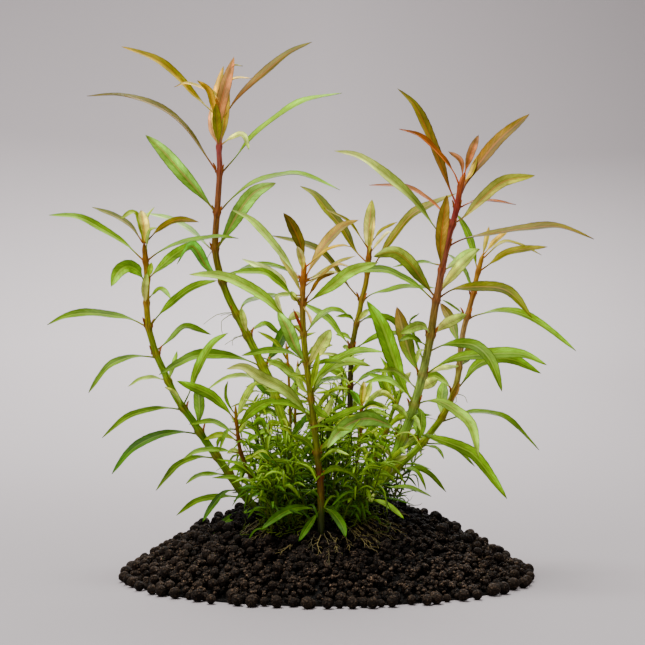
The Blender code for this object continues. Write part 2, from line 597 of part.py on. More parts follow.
def bush_shoot(name, foot, lean, height, number, materials):
    """A short leaning shoot with crossed pairs of small leaves."""
    root = np.array([foot[0], -foot[1], 0.0])
    root[2] = heap_top(root[0], root[1]) - PLANT_DEPTH
    top = root + np.array([lean[0], -lean[1], height + PLANT_DEPTH])
    line = np.linspace(top, root, BUSH_STATIONS)
    radii = np.linspace(*BUSH_RADIUS, BUSH_STATIONS)
    made = object_from(name, *tube(line, radii), materials["shoot"])
    small = bpy.data.collections.new(f"small leaves of {name}")
    bpy.context.scene.collection.children.link(small)
    for pair in range(BUSH_PAIRS):
        start = top + (root - top) * (BUSH_FIRST_PAIR + BUSH_LEAFY_SHARE * pair / BUSH_PAIRS)
        rise = math.radians(BUSH_LEAF_RISE[0] + BUSH_LEAF_RISE[1] * pair)
        length = BUSH_LEAF_LENGTH[0] + BUSH_LEAF_LENGTH[1] * pair
        for side in (0, 1):
            turn = math.radians(FIRST_TURN + SHOOT_TURN * number + CROSSED_TURN * pair
                                + OPPOSITE_TURN * side)
            out = np.array([math.cos(turn), math.sin(turn), 0])
            up = np.array([0, 0, 1.0])
            middle = start + length / 2 * (out * math.cos(rise) + up * math.sin(rise))
            tip = start + length * (out * BUSH_TIP_REACH[0] + up * BUSH_TIP_REACH[1])
            solid = leaf_solid([start, middle, tip], BUSH_LEAF_SEEN, SMALL_LEAF_STATIONS)
            helper = object_from(f"{name}.leaf_{pair}_{side}", *solid, materials["shoot"], True)
            move_into(small, helper)
    join_all(made, small)
    down = (root - top) / np.linalg.norm(root - top)
    socket_line = np.array([root - down * (PLANT_DEPTH + BUSH_SOCKET_RISE), root + down * GAP])
    return tube(socket_line, [BUSH_RADIUS[1] + 2 * GAP] * 2)


def build_heap(sockets, material):
    """The heap: rings of lumps over a flat underside, with a socket for every stem."""
    rng = random.Random(HEAP_SEED)
    rings = [[(0, 0, HEAP_HEIGHT)]]
    for ring in range(1, HEAP_RINGS + 1):
        points = []
        for k in range(6 * ring):
            spread = rng.uniform(-LUMP_TURN_SPREAD, LUMP_TURN_SPREAD)
            turn = 2 * math.pi * (k + spread) / (6 * ring)
            radius = HEAP_RADIUS * ring / HEAP_RINGS
            if ring < HEAP_RINGS:
                radius += rng.uniform(-LUMP_RADIUS_SPREAD, LUMP_RADIUS_SPREAD)
            x, y = radius * math.cos(turn), radius * math.sin(turn)
            lump = LUMP_HEIGHT if (k + ring) % 2 else -LUMP_HEIGHT
            z = heap_top(x, y) + lump * rng.uniform(*LUMP_SHARES) - LUMP_SINK
            points.append((x, y, max(RIM_HEIGHT, z)))
        rings.append(points)
    under = [(UNDERSIDE_SHARE * x, UNDERSIDE_SHARE * y, 0) for x, y, _ in rings[-1]]
    points = [p for ring in rings for p in ring] + under
    faces = []
    inner = 0
    for ring in range(1, HEAP_RINGS + 1):
        here = max(1, 6 * (ring - 1))
        outer = inner + here
        count = 6 * ring
        for sector in range(6):
            for k in range(ring):
                a = outer + (sector * ring + k) % count
                b = outer + (sector * ring + k + 1) % count
                c = inner + (sector * (ring - 1) + k) % here
                faces.append((a, b, c))
                if k < ring - 1:
                    d = inner + (sector * (ring - 1) + k + 1) % here
                    faces.append((b, d, c))
        inner = outer
    below = inner + count
    for k in range(count):
        m = (k + 1) % count
        faces.append((inner + k, below + k, below + m, inner + m))
    faces.append(tuple(range(below, below + count)))
    made = object_from("soil_heap", points, faces, material)
    cutters = bpy.data.collections.new("sockets")
    bpy.context.scene.collection.children.link(cutters)
    for number, solid in enumerate(sockets):
        move_into(cutters, object_from(f"socket_{number}", *solid, material, True))
    cut = made.modifiers.new("sockets", "BOOLEAN")
    cut.operation = "DIFFERENCE"
    cut.solver = "EXACT"
    cut.operand_type = "COLLECTION"
    cut.collection = cutters
    return made


def build_leaves(name, stem, material):
    for number, (points, seen, reach) in enumerate(LEAVES.get(name, []), 1):
        line = leaf_line(stem, points, reach, clear=True)
        object_from(f"leaf_{name}_{number}", *leaf_solid(line, seen, LEAF_STATIONS), material)


def main():
    clear_scene()
    materials = {name: finish_of(f"stem {name}", colour, 0.5)
                 for name, colour in STEM_COLOURS.items()}
    materials["shoot"] = finish_of("young shoot", SHOOT_COLOUR, 0.5)
    leaf_finish = finish_of("leaf", LEAF_COLOUR, 0.45)
    sockets = []
    for name, row in STEMS.items():
        stem = Stem(**row)
        build_stem(name, stem, materials, "stem")
        build_leaves(name, stem, leaf_finish)
        sockets.append(stem.socket())
    for name, row in SHOOTS.items():
        stem = Stem(**row)
        build_stem(name, stem, materials, "shoot")
        sockets.append(stem.socket())
    for number, (name, row) in enumerate(BUSH.items()):
        sockets.append(bush_shoot(name, number=number, materials=materials, **row))
    build_heap(sockets, finish_of("soil", SOIL_COLOUR, 0.95))


main()
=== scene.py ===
import math

import bpy
import numpy as np
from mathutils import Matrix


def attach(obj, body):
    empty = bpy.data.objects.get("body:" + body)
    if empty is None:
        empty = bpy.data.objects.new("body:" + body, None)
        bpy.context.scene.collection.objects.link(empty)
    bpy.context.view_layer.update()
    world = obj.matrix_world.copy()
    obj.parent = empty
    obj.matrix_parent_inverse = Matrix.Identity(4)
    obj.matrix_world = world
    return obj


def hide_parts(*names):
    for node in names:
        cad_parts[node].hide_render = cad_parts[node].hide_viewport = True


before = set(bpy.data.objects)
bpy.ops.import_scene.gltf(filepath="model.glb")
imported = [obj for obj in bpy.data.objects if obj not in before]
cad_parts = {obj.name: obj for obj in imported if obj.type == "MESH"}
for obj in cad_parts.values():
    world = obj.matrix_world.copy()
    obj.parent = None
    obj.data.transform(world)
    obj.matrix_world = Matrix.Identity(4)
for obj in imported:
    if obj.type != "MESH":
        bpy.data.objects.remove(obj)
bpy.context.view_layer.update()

MM = 0.001
BODY = "root"
UPWARD = np.array([0, 0, 1.0])

# The plant's lines are listed as they are seen from the front: (right, up) in millimetres at the
# distance of the heap's axis, with how near each one lies. This is where the eye stands.
EYE_DISTANCE = 600.0
EYE_RIGHT = -1.5
EYE_UP = 84.5
FRAME_ACROSS = 215.0
SENSOR = 36.0

# The lamps: place, size and power. The floor, in metres: how far it is flat, how wide its bend
# is, and how high its wall ends.
LAMPS = {
    "overhead": ((-0.35, 0.0, 2.3), 1.2, 92.0),
    "behind": ((0.1, 1.0, 0.9), 0.7, 13.0),
    "front": ((-0.7, -1.1, 0.8), 0.4, 5.0),
}
LAMPS_AIM = np.array((0, 0, 0.07))
SKY = (1, 0.985, 0.985, 1)
SKY_STRENGTH = 0.25
FLOOR_FLAT = 0.4
FLOOR_BEND = 2.4
WALL_TOP = 3.2

# Where the random draws start
HEAP_SEED = 5
DETAILS_SEED = 40
PLANT_SEED = 100
BUSH_SEED = 300

# The heap, the power by which its side falls away, and how deep the plants stand in it
HEAP_RADIUS = 68.6
HEAP_HEIGHT = 28.5
HEAP_FALL = 1.75
PLANT_DEPTH = 7.0

# A leaf's full width grows with its length, and a listed width is widened a little. Its stalk is
# a share of its length and of its width, warmer than the stem it grows from. GUTTER is how deep
# its section is, TWIST how far it may turn about its line, and ROLL_IN where it has turned.
LEAF_WIDTH_AT_ZERO = 0.9
LEAF_WIDTH_PER_LENGTH = 0.085
SEEN_SHARE = 1.04
SEEN_EXTRA = 0.35
STALK_SHARE = 0.04
STALK_WIDTH = 0.2
STALK_WARMTH = np.array([1.6, 1.05, 1.0])
STALK_REACH = 0.16
GUTTER = 0.28
TWIST = 0.7
ROLL_IN = 0.3
WIDENING = (0.48, 1.2)           # the share of the blade in which it widens, and the power
NARROWING = (0.42, 0.72)         # the same for its tip
TOOTH_DEPTH = 0.07
TOOTH_LENGTH = 2.6
WAVE = (0.03, 0.09)
WAVES = 2.5
KEEL_WIDTH = 0.14
KEEL_DEPTH = (0.3, 0.06)         # what fades towards the tip, and what stays
CLOUD = 0.13
SHADE = (0.88, 1.12)
BLADE_THICKNESS = 0.1
STALK_THICKENING = 0.2

# Colours of a leaf: the blade near its stalk, the blade at its tip, and the midrib
TONES = {
    "green": ((0.18, 0.36, 0.003), (0.16, 0.3, 0.002), (0.36, 0.5, 0.04)),
    "bright": ((0.25, 0.43, 0.005), (0.3, 0.58, 0.005), (0.46, 0.62, 0.06)),
    "lime": ((0.45, 0.62, 0.017), (0.45, 0.63, 0.012), (0.6, 0.68, 0.1)),
    "pale": ((0.52, 0.71, 0.14), (0.44, 0.66, 0.04), (0.62, 0.62, 0.18)),
    "pale pink": ((0.27, 0.66, 0.09), (0.3, 0.69, 0.04), (0.6, 0.17, 0.07)),
    "mint": ((0.85, 0.85, 0.24), (0.63, 0.84, 0.15), (0.66, 0.6, 0.25)),
    "olive": ((0.35, 0.36, 0.02), (0.32, 0.3, 0.005), (0.5, 0.25, 0.03)),
    "olive brown": ((0.19, 0.17, 0.001), (0.17, 0.14, 0.001), (0.5, 0.18, 0.02)),
    "gold": ((0.72, 0.54, 0.01), (0.44, 0.34, 0.005), (0.6, 0.16, 0.02)),
    "tan": ((0.85, 0.77, 0.15), (0.8, 0.61, 0.06), (0.5, 0.14, 0.03)),
    "rust": ((0.6, 0.21, 0.017), (0.33, 0.09, 0.004), (0.4, 0.09, 0.01)),
    "red": ((0.3, 0.03, 0.005), (0.35, 0.08, 0.007), (0.5, 0.06, 0.02)),
    "cream": ((0.74, 0.73, 0.03), (0.85, 0.85, 0.38), (0.6, 0.22, 0.03)),
    "sunset": ((0.52, 0.25, 0.06), (0.52, 0.35, 0.18), (0.55, 0.12, 0.03)),
    "dark": ((0.07, 0.17, 0.001), (0.07, 0.22, 0.002), (0.2, 0.33, 0.02)),
    "deep": ((0.035, 0.1, 0.001), (0.05, 0.15, 0.002), (0.08, 0.2, 0.01)),
    "autumn": ((0.15, 0.34, 0.002), (0.23, 0.1, 0.002), (0.42, 0.3, 0.04)),
    "straw": ((0.36, 0.38, 0.018), (0.56, 0.42, 0.02), (0.5, 0.14, 0.03)),
    "blush": ((0.5, 0.29, 0.05), (0.83, 0.53, 0.23), (0.6, 0.2, 0.05)),
    "fresh": ((0.2, 0.38, 0.007), (0.78, 0.85, 0.24), (0.45, 0.5, 0.06)),
    "meadow": ((0.25, 0.44, 0.009), (0.51, 0.76, 0.07), (0.5, 0.55, 0.07)),
    "moss": ((0.14, 0.14, 0.001), (0.21, 0.26, 0.004), (0.45, 0.25, 0.03)),
    "bronze": ((0.25, 0.11, 0.017), (0.21, 0.22, 0.002), (0.5, 0.12, 0.02)),
    "khaki": ((0.29, 0.13, 0.002), (0.3, 0.22, 0.006), (0.6, 0.18, 0.03)),
    "wheat": ((0.6, 0.62, 0.23), (0.57, 0.62, 0.04), (0.6, 0.2, 0.05)),
    "reed": ((0.17, 0.17, 0.004), (0.36, 0.37, 0.02), (0.55, 0.26, 0.05)),
    "laurel": ((0.16, 0.22, 0.002), (0.57, 0.74, 0.1), (0.45, 0.22, 0.03)),
    "dune": ((0.39, 0.29, 0.03), (0.46, 0.35, 0.04), (0.5, 0.12, 0.03)),
    "spring": ((0.22, 0.46, 0.05), (0.53, 0.85, 0.15), (0.62, 0.3, 0.13)),
    "bud": ((0.3, 0.09, 0.012), (0.38, 0.13, 0.02), (0.36, 0.1, 0.02)),
}

# Each long stem: its line from the tip down to the soil as right, up, right, up and so on, how
# near its tip and foot are, its radius at both, the heights of its joints, and its colours down
# its length as (share, red, green, blue)
STEMS = {
    "tall_left": {
        "line": (-35, 156, -36, 143, -35.8, 135, -36.7, 121, -37.3, 109, -35.5, 100, -33, 93, -29.5,
                 86, -26.5, 80, -22.5, 72, -19, 65, -16.5, 57, -14, 50, -12, 43, -10.5, 37, -9, 30),
        "near": (-18, -5), "radius": (0.9, 1.75),
        "joints": [143, 134.5, 121, 109, 98, 87, 80, 70, 59, 50],
        "colours": [(0, 0.636, 0.95, 0.102), (0.1, 0.412, 0.076, 0.095), (0.17, 0.275, 0.08, 0.038),
                    (0.34, 0.183, 0.083, 0.008), (0.5, 0.138, 0.203, 0.001),
                    (0.8, 0.277, 0.453, 0.015), (0.93, 0.022, 0.026, 0.002),
                    (1, 0.005, 0.016, 0.001)],
    },
    "far_left": {
        "line": (-61, 111, -60.5, 105, -60, 99, -60.2, 91, -59.5, 83, -58.5, 79, -57, 74, -55, 69.5,
                 -53, 65, -50.5, 60, -48, 56, -45, 52, -42.5, 48, -39.5, 43.5, -36.5, 39.5, -33,
                 34.5, -30, 30, -27, 26, -24, 22.5),
        "near": (8, 2), "radius": (0.95, 1.45),
        "joints": [105, 99, 91, 83, 74, 65, 56, 48, 40, 34],
        "colours": [(0, 0.211, 0.07, 0.001), (0.2, 0.451, 0.293, 0.01), (0.35, 0.181, 0.241, 0.005),
                    (0.5, 0.166, 0.316, 0.004), (0.7, 0.086, 0.22, 0.001),
                    (0.9, 0.101, 0.166, 0.001), (1, 0.031, 0.054, 0.001)],
    },
    "centre_front": {
        "line": (-7.5, 105, -8, 98, -8.2, 90, -7.8, 80, -6.8, 70, -5.5, 60, -4.3, 50, -3.2, 40,
                 -2.2, 30, -2, 20, -2, 16),
        "near": (26, 35), "radius": (0.95, 1.2),
        "joints": [98, 90.5, 80.5, 71, 59, 50, 41, 33],
        "colours": [(0, 0.524, 0.162, 0.008), (0.15, 0.223, 0.131, 0.019),
                    (0.3, 0.229, 0.231, 0.012), (0.6, 0.135, 0.15, 0.005),
                    (0.72, 0.108, 0.138, 0.001), (0.8, 0.07, 0.018, 0.001),
                    (0.88, 0.109, 0.072, 0.001), (0.94, 0.037, 0.053, 0.001),
                    (1, 0.016, 0.024, 0.001)],
    },
    "centre_back": {
        "line": (14.3, 111, 13.5, 102, 12.8, 97, 11.5, 92, 10.8, 88, 9.8, 84, 9, 80, 8.3, 76, 7.8,
                 66, 7.6, 55, 7.3, 45, 7, 38, 6.5, 32, 6, 27),
        "near": (-30, -10), "radius": (0.92, 1.1),
        "joints": [106, 101.5, 92, 84, 76, 63.5, 55],
        "colours": [(0, 0.261, 0.096, 0.001), (0.25, 0.242, 0.227, 0.012),
                    (0.45, 0.041, 0.036, 0.001), (0.8, 0.013, 0.013, 0.001),
                    (1, 0.01, 0.013, 0.001)],
    },
    "tall_right": {
        "line": (46, 134.5, 44.5, 130, 43.5, 124, 42.3, 119, 40.5, 113, 39.3, 107, 38, 101, 37, 95,
                 36, 90, 34.5, 80, 33.3, 74, 32, 68, 30.5, 62, 29, 57, 27.5, 52, 25.5, 47, 23.5, 42,
                 20.5, 37, 17.5, 32, 14.5, 27.5, 11.5, 23),
        "near": (10, 18), "radius": (0.95, 1.85),
        "joints": [130, 123, 117, 110, 102, 92, 80, 67, 57, 46, 36],
        "colours": [(0, 0.518, 0.151, 0.026), (0.1, 0.219, 0.017, 0.02), (0.3, 0.264, 0.091, 0.044),
                    (0.45, 0.191, 0.133, 0.019), (0.6, 0.239, 0.351, 0.066),
                    (0.8, 0.164, 0.339, 0.024), (0.93, 0.246, 0.448, 0.002),
                    (1, 0.197, 0.294, 0.009)],
    },
    "far_right": {
        "line": (52, 107.5, 50.5, 102, 49.5, 98, 48.7, 94, 46.8, 87, 45.5, 82, 44.7, 77, 44.2, 72,
                 43.7, 67, 42.5, 62, 40.5, 57, 38, 52.5, 35, 48.5, 31.5, 44, 27, 39.5, 22.5, 35.5,
                 18.5, 31.5, 15.5, 28),
        "near": (-14, 5), "radius": (0.85, 1.3),
        "joints": [101.5, 94, 86.5, 77, 69.5, 61.5, 53, 44.5, 36],
        "colours": [(0, 0.38, 0.2, 0.007), (0.2, 0.28, 0.13, 0.02), (0.35, 0.34, 0.22, 0.08),
                    (0.5, 0.3, 0.26, 0.05), (0.65, 0.22, 0.25, 0.006), (0.8, 0.2, 0.38, 0.004),
                    (1, 0.09, 0.14, 0.002)],
    },
}

# A joint: how far it swells, the width of the swelling and of its red blush, and the red's share
JOINT_SWELL = 0.28
JOINT_WIDTH = 0.9
BLUSH_WIDTH = 1.2
BLUSH_SHARE = 0.5
JOINT_RED = np.array([0.24, 0.05, 0.012])
RIDGES = 5
RIDGE_DEPTH = 0.035

SHOOT_GREEN = [(0, 0.2, 0.36, 0.005), (0.7, 0.07, 0.11, 0.002), (1, 0.02, 0.04, 0.001)]
SHOOT_TAN = [(0, 0.5, 0.25, 0.02), (0.5, 0.25, 0.17, 0.006), (0.8, 0.05, 0.05, 0.001),
             (1, 0.01, 0.015, 0.001)]
SHOOT_RED = [(0, 0.3, 0.19, 0.003), (0.3, 0.2, 0.08, 0.003), (0.6, 0.11, 0.08, 0.002),
             (1, 0.02, 0.02, 0.001)]

# Short shoots, in the same form
SHOOTS = {
    "small_left": {
        "line": (-30.5, 57, -30.3, 52, -29.7, 47, -29, 42, -27.5, 38, -25.5, 33, -23.5, 29, -21.5,
                 25.5, -19.5, 22),
        "near": (22, 10), "radius": (0.5, 0.85),
        "joints": [51, 46, 41], "colours": SHOOT_RED,
    },
    "inner_left": {
        "line": (-20.3, 49, -20, 40, -19.5, 35, -18, 27),
        "near": (0, -2), "radius": (0.55, 0.7),
        "joints": [40], "colours": SHOOT_GREEN,
    },
    "thin_left": {
        "line": (-13.7, 78, -13, 70, -12.5, 60, -12.2, 50, -12, 27),
        "near": (-20, -15), "radius": (0.45, 0.6),
        "joints": [70, 60], "colours": SHOOT_TAN,
    },
    "thin_middle": {
        "line": (-9.7, 72, -10.2, 62, -10.5, 50, -8, 27),
        "near": (-26, -19), "radius": (0.45, 0.6),
        "joints": [62], "colours": SHOOT_TAN,
    },
    "inner_right": {
        "line": (25, 62, 23, 57, 21.5, 54, 20.5, 50, 18.5, 45, 16.5, 40, 14.5, 33, 13.5, 27),
        "near": (-14, -8), "radius": (0.65, 0.95),
        "joints": [57, 48, 40], "colours": SHOOT_GREEN,
    },
    "inner_middle": {
        "line": (11.5, 57, 11.2, 52, 11, 48, 10, 40, 9, 27),
        "near": (6, 4), "radius": (0.6, 0.85),
        "joints": [56, 48], "colours": SHOOT_TAN,
    },
}

# The bush around the foot: where each shoot stands and how far its top leans, as (right, near),
# and how high it stands above the soil
BUSH = {
    "bush_front_left": {"foot": (-12, 17), "lean": (0, 7), "height": 18},
    "bush_front": {"foot": (-13.5, 28.5), "lean": (-4, 5), "height": 13.5},
    "bush_front_right": {"foot": (9, 27), "lean": (4, 5), "height": 17},
    "bush_middle": {"foot": (1, 8), "lean": (-1, 4), "height": 26},
    "bush_back_left": {"foot": (-17, -16), "lean": (-6, -6), "height": 23},
    "bush_back": {"foot": (0, -26), "lean": (-2, -8), "height": 25},
    "bush_back_right": {"foot": (18, -19), "lean": (7, -6), "height": 22},
}
BUSH_RADIUS = 0.7
BUSH_PAIRS = 3
BUSH_LEAF_LENGTH = 14.0
BUSH_LEAF_RISE = 40.0
BUSH_LEAF_SEEN = 1.3
BUSH_GREEN = (0.06, 0.11, 0.008)
BUSH_TONES = ("deep", "dark", "green", "bright", "lime")
THIN_SHOOTS = 13
THIN_GREEN = (0.055, 0.09, 0.002)
THIN_BROWN = (0.08, 0.055, 0.002)
STRANDS = 80
STRAND_DARK = np.array([0.045, 0.07, 0.002])

# The large leaves, a piece each: the tone, the width that is seen (below zero where the underside
# shows), how much nearer the tip is than the stem, and the middle line as right, up and so on
LEAVES = {
    "tall_left": [
        ("straw", 2.2, 12, -38, 152.5, -44, 160, -50, 166.5, -57, 172, -68.5, 176.5),
        ("bronze", 2.5, -14, -34, 152.5, -30, 159, -22, 166.5, -13, 174, -5, 178),
        ("olive brown", 1.8, -8, -36.8, 134, -41, 141, -48, 150, -56, 156, -68, 160, -80, 160),
        ("bright", 1.8, 8, -34.8, 134, -31, 139, -25, 146, -17, 152.5, -8, 158, 5, 161),
        ("spring", 4.2, 24, -37.8, 121, -41, 126, -48, 134, -55, 142, -60.5, 147),
        ("bright", 1.5, -18, -35.8, 121, -31, 126.5, -24, 131, -15, 133.5, -8, 133.5, 4.3, 128.7),
        ("spring", 4.5, 28, -36, 108.5, -33, 115, -29, 122, -24, 128, -17, 131),
        ("spring", 1.5, -28, -38, 108, -42, 112, -47, 116, -53, 119, -61, 121),
        ("pale pink", 3.2, 26, -36, 98, -40, 103, -45, 110, -50, 104),
        ("green", 2.8, 21, -22.5, 70, -27, 72, -34, 73.5, -43, 73.5, -49, 71, -56, 67),
    ],
    "far_left": [
        ("bright", 1.8, 10, -61.5, 105, -67, 110.5, -75, 115.5, -83, 119.5, -92.7, 120.3),
        ("green", 1.4, -12, -59.7, 105, -56, 108, -50, 110.5, -43, 112, -36, 113, -29.5, 112.5),
        ("bright", 3.8, 22, -60.3, 97, -63, 101.7, -66.5, 103.2, -69.8, 101, -72, 96.5),
        ("green", 2, -12, -61, 83, -65, 85.5, -72, 86.8, -80, 87.5, -87, 86.5, -93.3, 83.7),
        ("green", 2.2, 12, -58.5, 83, -56, 87, -50, 92.5, -44, 96.5, -36.5, 98.5),
        ("green", 1.8, 14, -58, 73, -62, 73.3, -67, 72.5, -73, 69.5, -79.5, 61),
        ("bright", 2.4, 16, -46.3, 56.5, -45.5, 62, -43, 69, -38.5, 77, -33, 81),
        ("dark", 2.4, 14, -43.5, 47.5, -49, 48, -57, 46.5, -65, 42, -71.7, 34),
    ],
    "centre_front": [
        ("dune", 2.8, -16, -7, 99, -3.5, 106, 0, 111.5, 5, 116.5, 10.5, 118.7),
        ("meadow", 3.2, 20, -6.7, 90.3, -3, 93.5, 2, 97, 8, 101.5, 17, 104.5),
        ("pale", 2.2, -10, -8.8, 98, -11, 101.5, -16, 108, -21, 114, -26, 119, -31.7, 122),
        ("meadow", 2.8, 8, -9, 81, -14, 86, -20, 92, -28, 97, -36, 100, -46, 100.5),
        ("fresh", 3.2, 8, -4.8, 50, -9, 57, -15, 62.5, -22, 66, -28, 69.7, -33.5, 69),
    ],
    "centre_back": [
        ("moss", 3, -20, 12, 104.5, 9, 109, 5, 116, 0, 122, -4, 127, -9, 130),
        ("reed", 2.6, -8, 15, 101, 18, 107, 23, 114, 28, 120, 33, 123, 43, 127.5),
    ],
    "tall_right": [
        ("khaki", 3.4, -18, 45, 126, 47, 132, 52, 139, 58, 146, 67.5, 154),
        ("bronze", 3, -16, 43, 124, 40.5, 130, 37, 139, 33, 149, 29, 157, 23.5, 162.5),
        ("wheat", 3.2, 22, 42, 117.5, 46, 120, 52, 126, 59, 131.5, 69.3, 133.5),
        ("fresh", 2.8, 16, 38.5, 111, 35, 117.5, 28, 126, 20, 133, 11, 139.5, 2.5, 141.7),
        ("olive brown", 2, 8, 40.8, 110, 46, 112.5, 55, 114, 65, 115.5, 77, 116.3, 89, 112.3),
        ("moss", 3, 18, 38.3, 92.5, 42, 95.5, 49, 96.3, 57, 96, 62, 93.5, 68.3, 86),
        ("laurel", 4, 22, 35, 92.5, 31.5, 99, 27, 105, 22, 108, 15.5, 106.5),
        ("green", 3.3, 24, 34.5, 74.8, 39, 77, 45, 77.5, 50, 76.3, 54.5, 71.5, 58.3, 61.5),
        ("bright", 3, 10, 32.7, 66.7, 37, 70, 43, 72.5, 50, 73.5, 64, 74, 73.3, 70.3),
        ("meadow", 3, 16, 30.3, 57, 33, 58.3, 38, 58, 43, 55, 48, 50, 50.5, 39.5),
        ("bright", 4.8, 16, 27.5, 57.5, 25, 64.5, 22, 73, 18, 84, 13.3, 91.7),
        ("spring", 4.4, 26, 24.5, 46.5, 20, 50.5, 14, 52.5, 8, 51, 3, 47, 0, 42.5),
        ("bright", 3, 8, 27, 46, 31, 47, 37, 45.5, 45, 42.5, 50, 39, 60, 25.7),
    ],
    "far_right": [
        ("bright", 2.2, -10, 47.5, 85.5, 50, 87, 57, 88.3, 64, 87.5, 71, 84, 83, 75),
        ("bright", 3, -16, 43.5, 61.5, 46.5, 66, 49.5, 69.8, 54, 72, 62, 72, 71.3, 67.5),
    ],
}

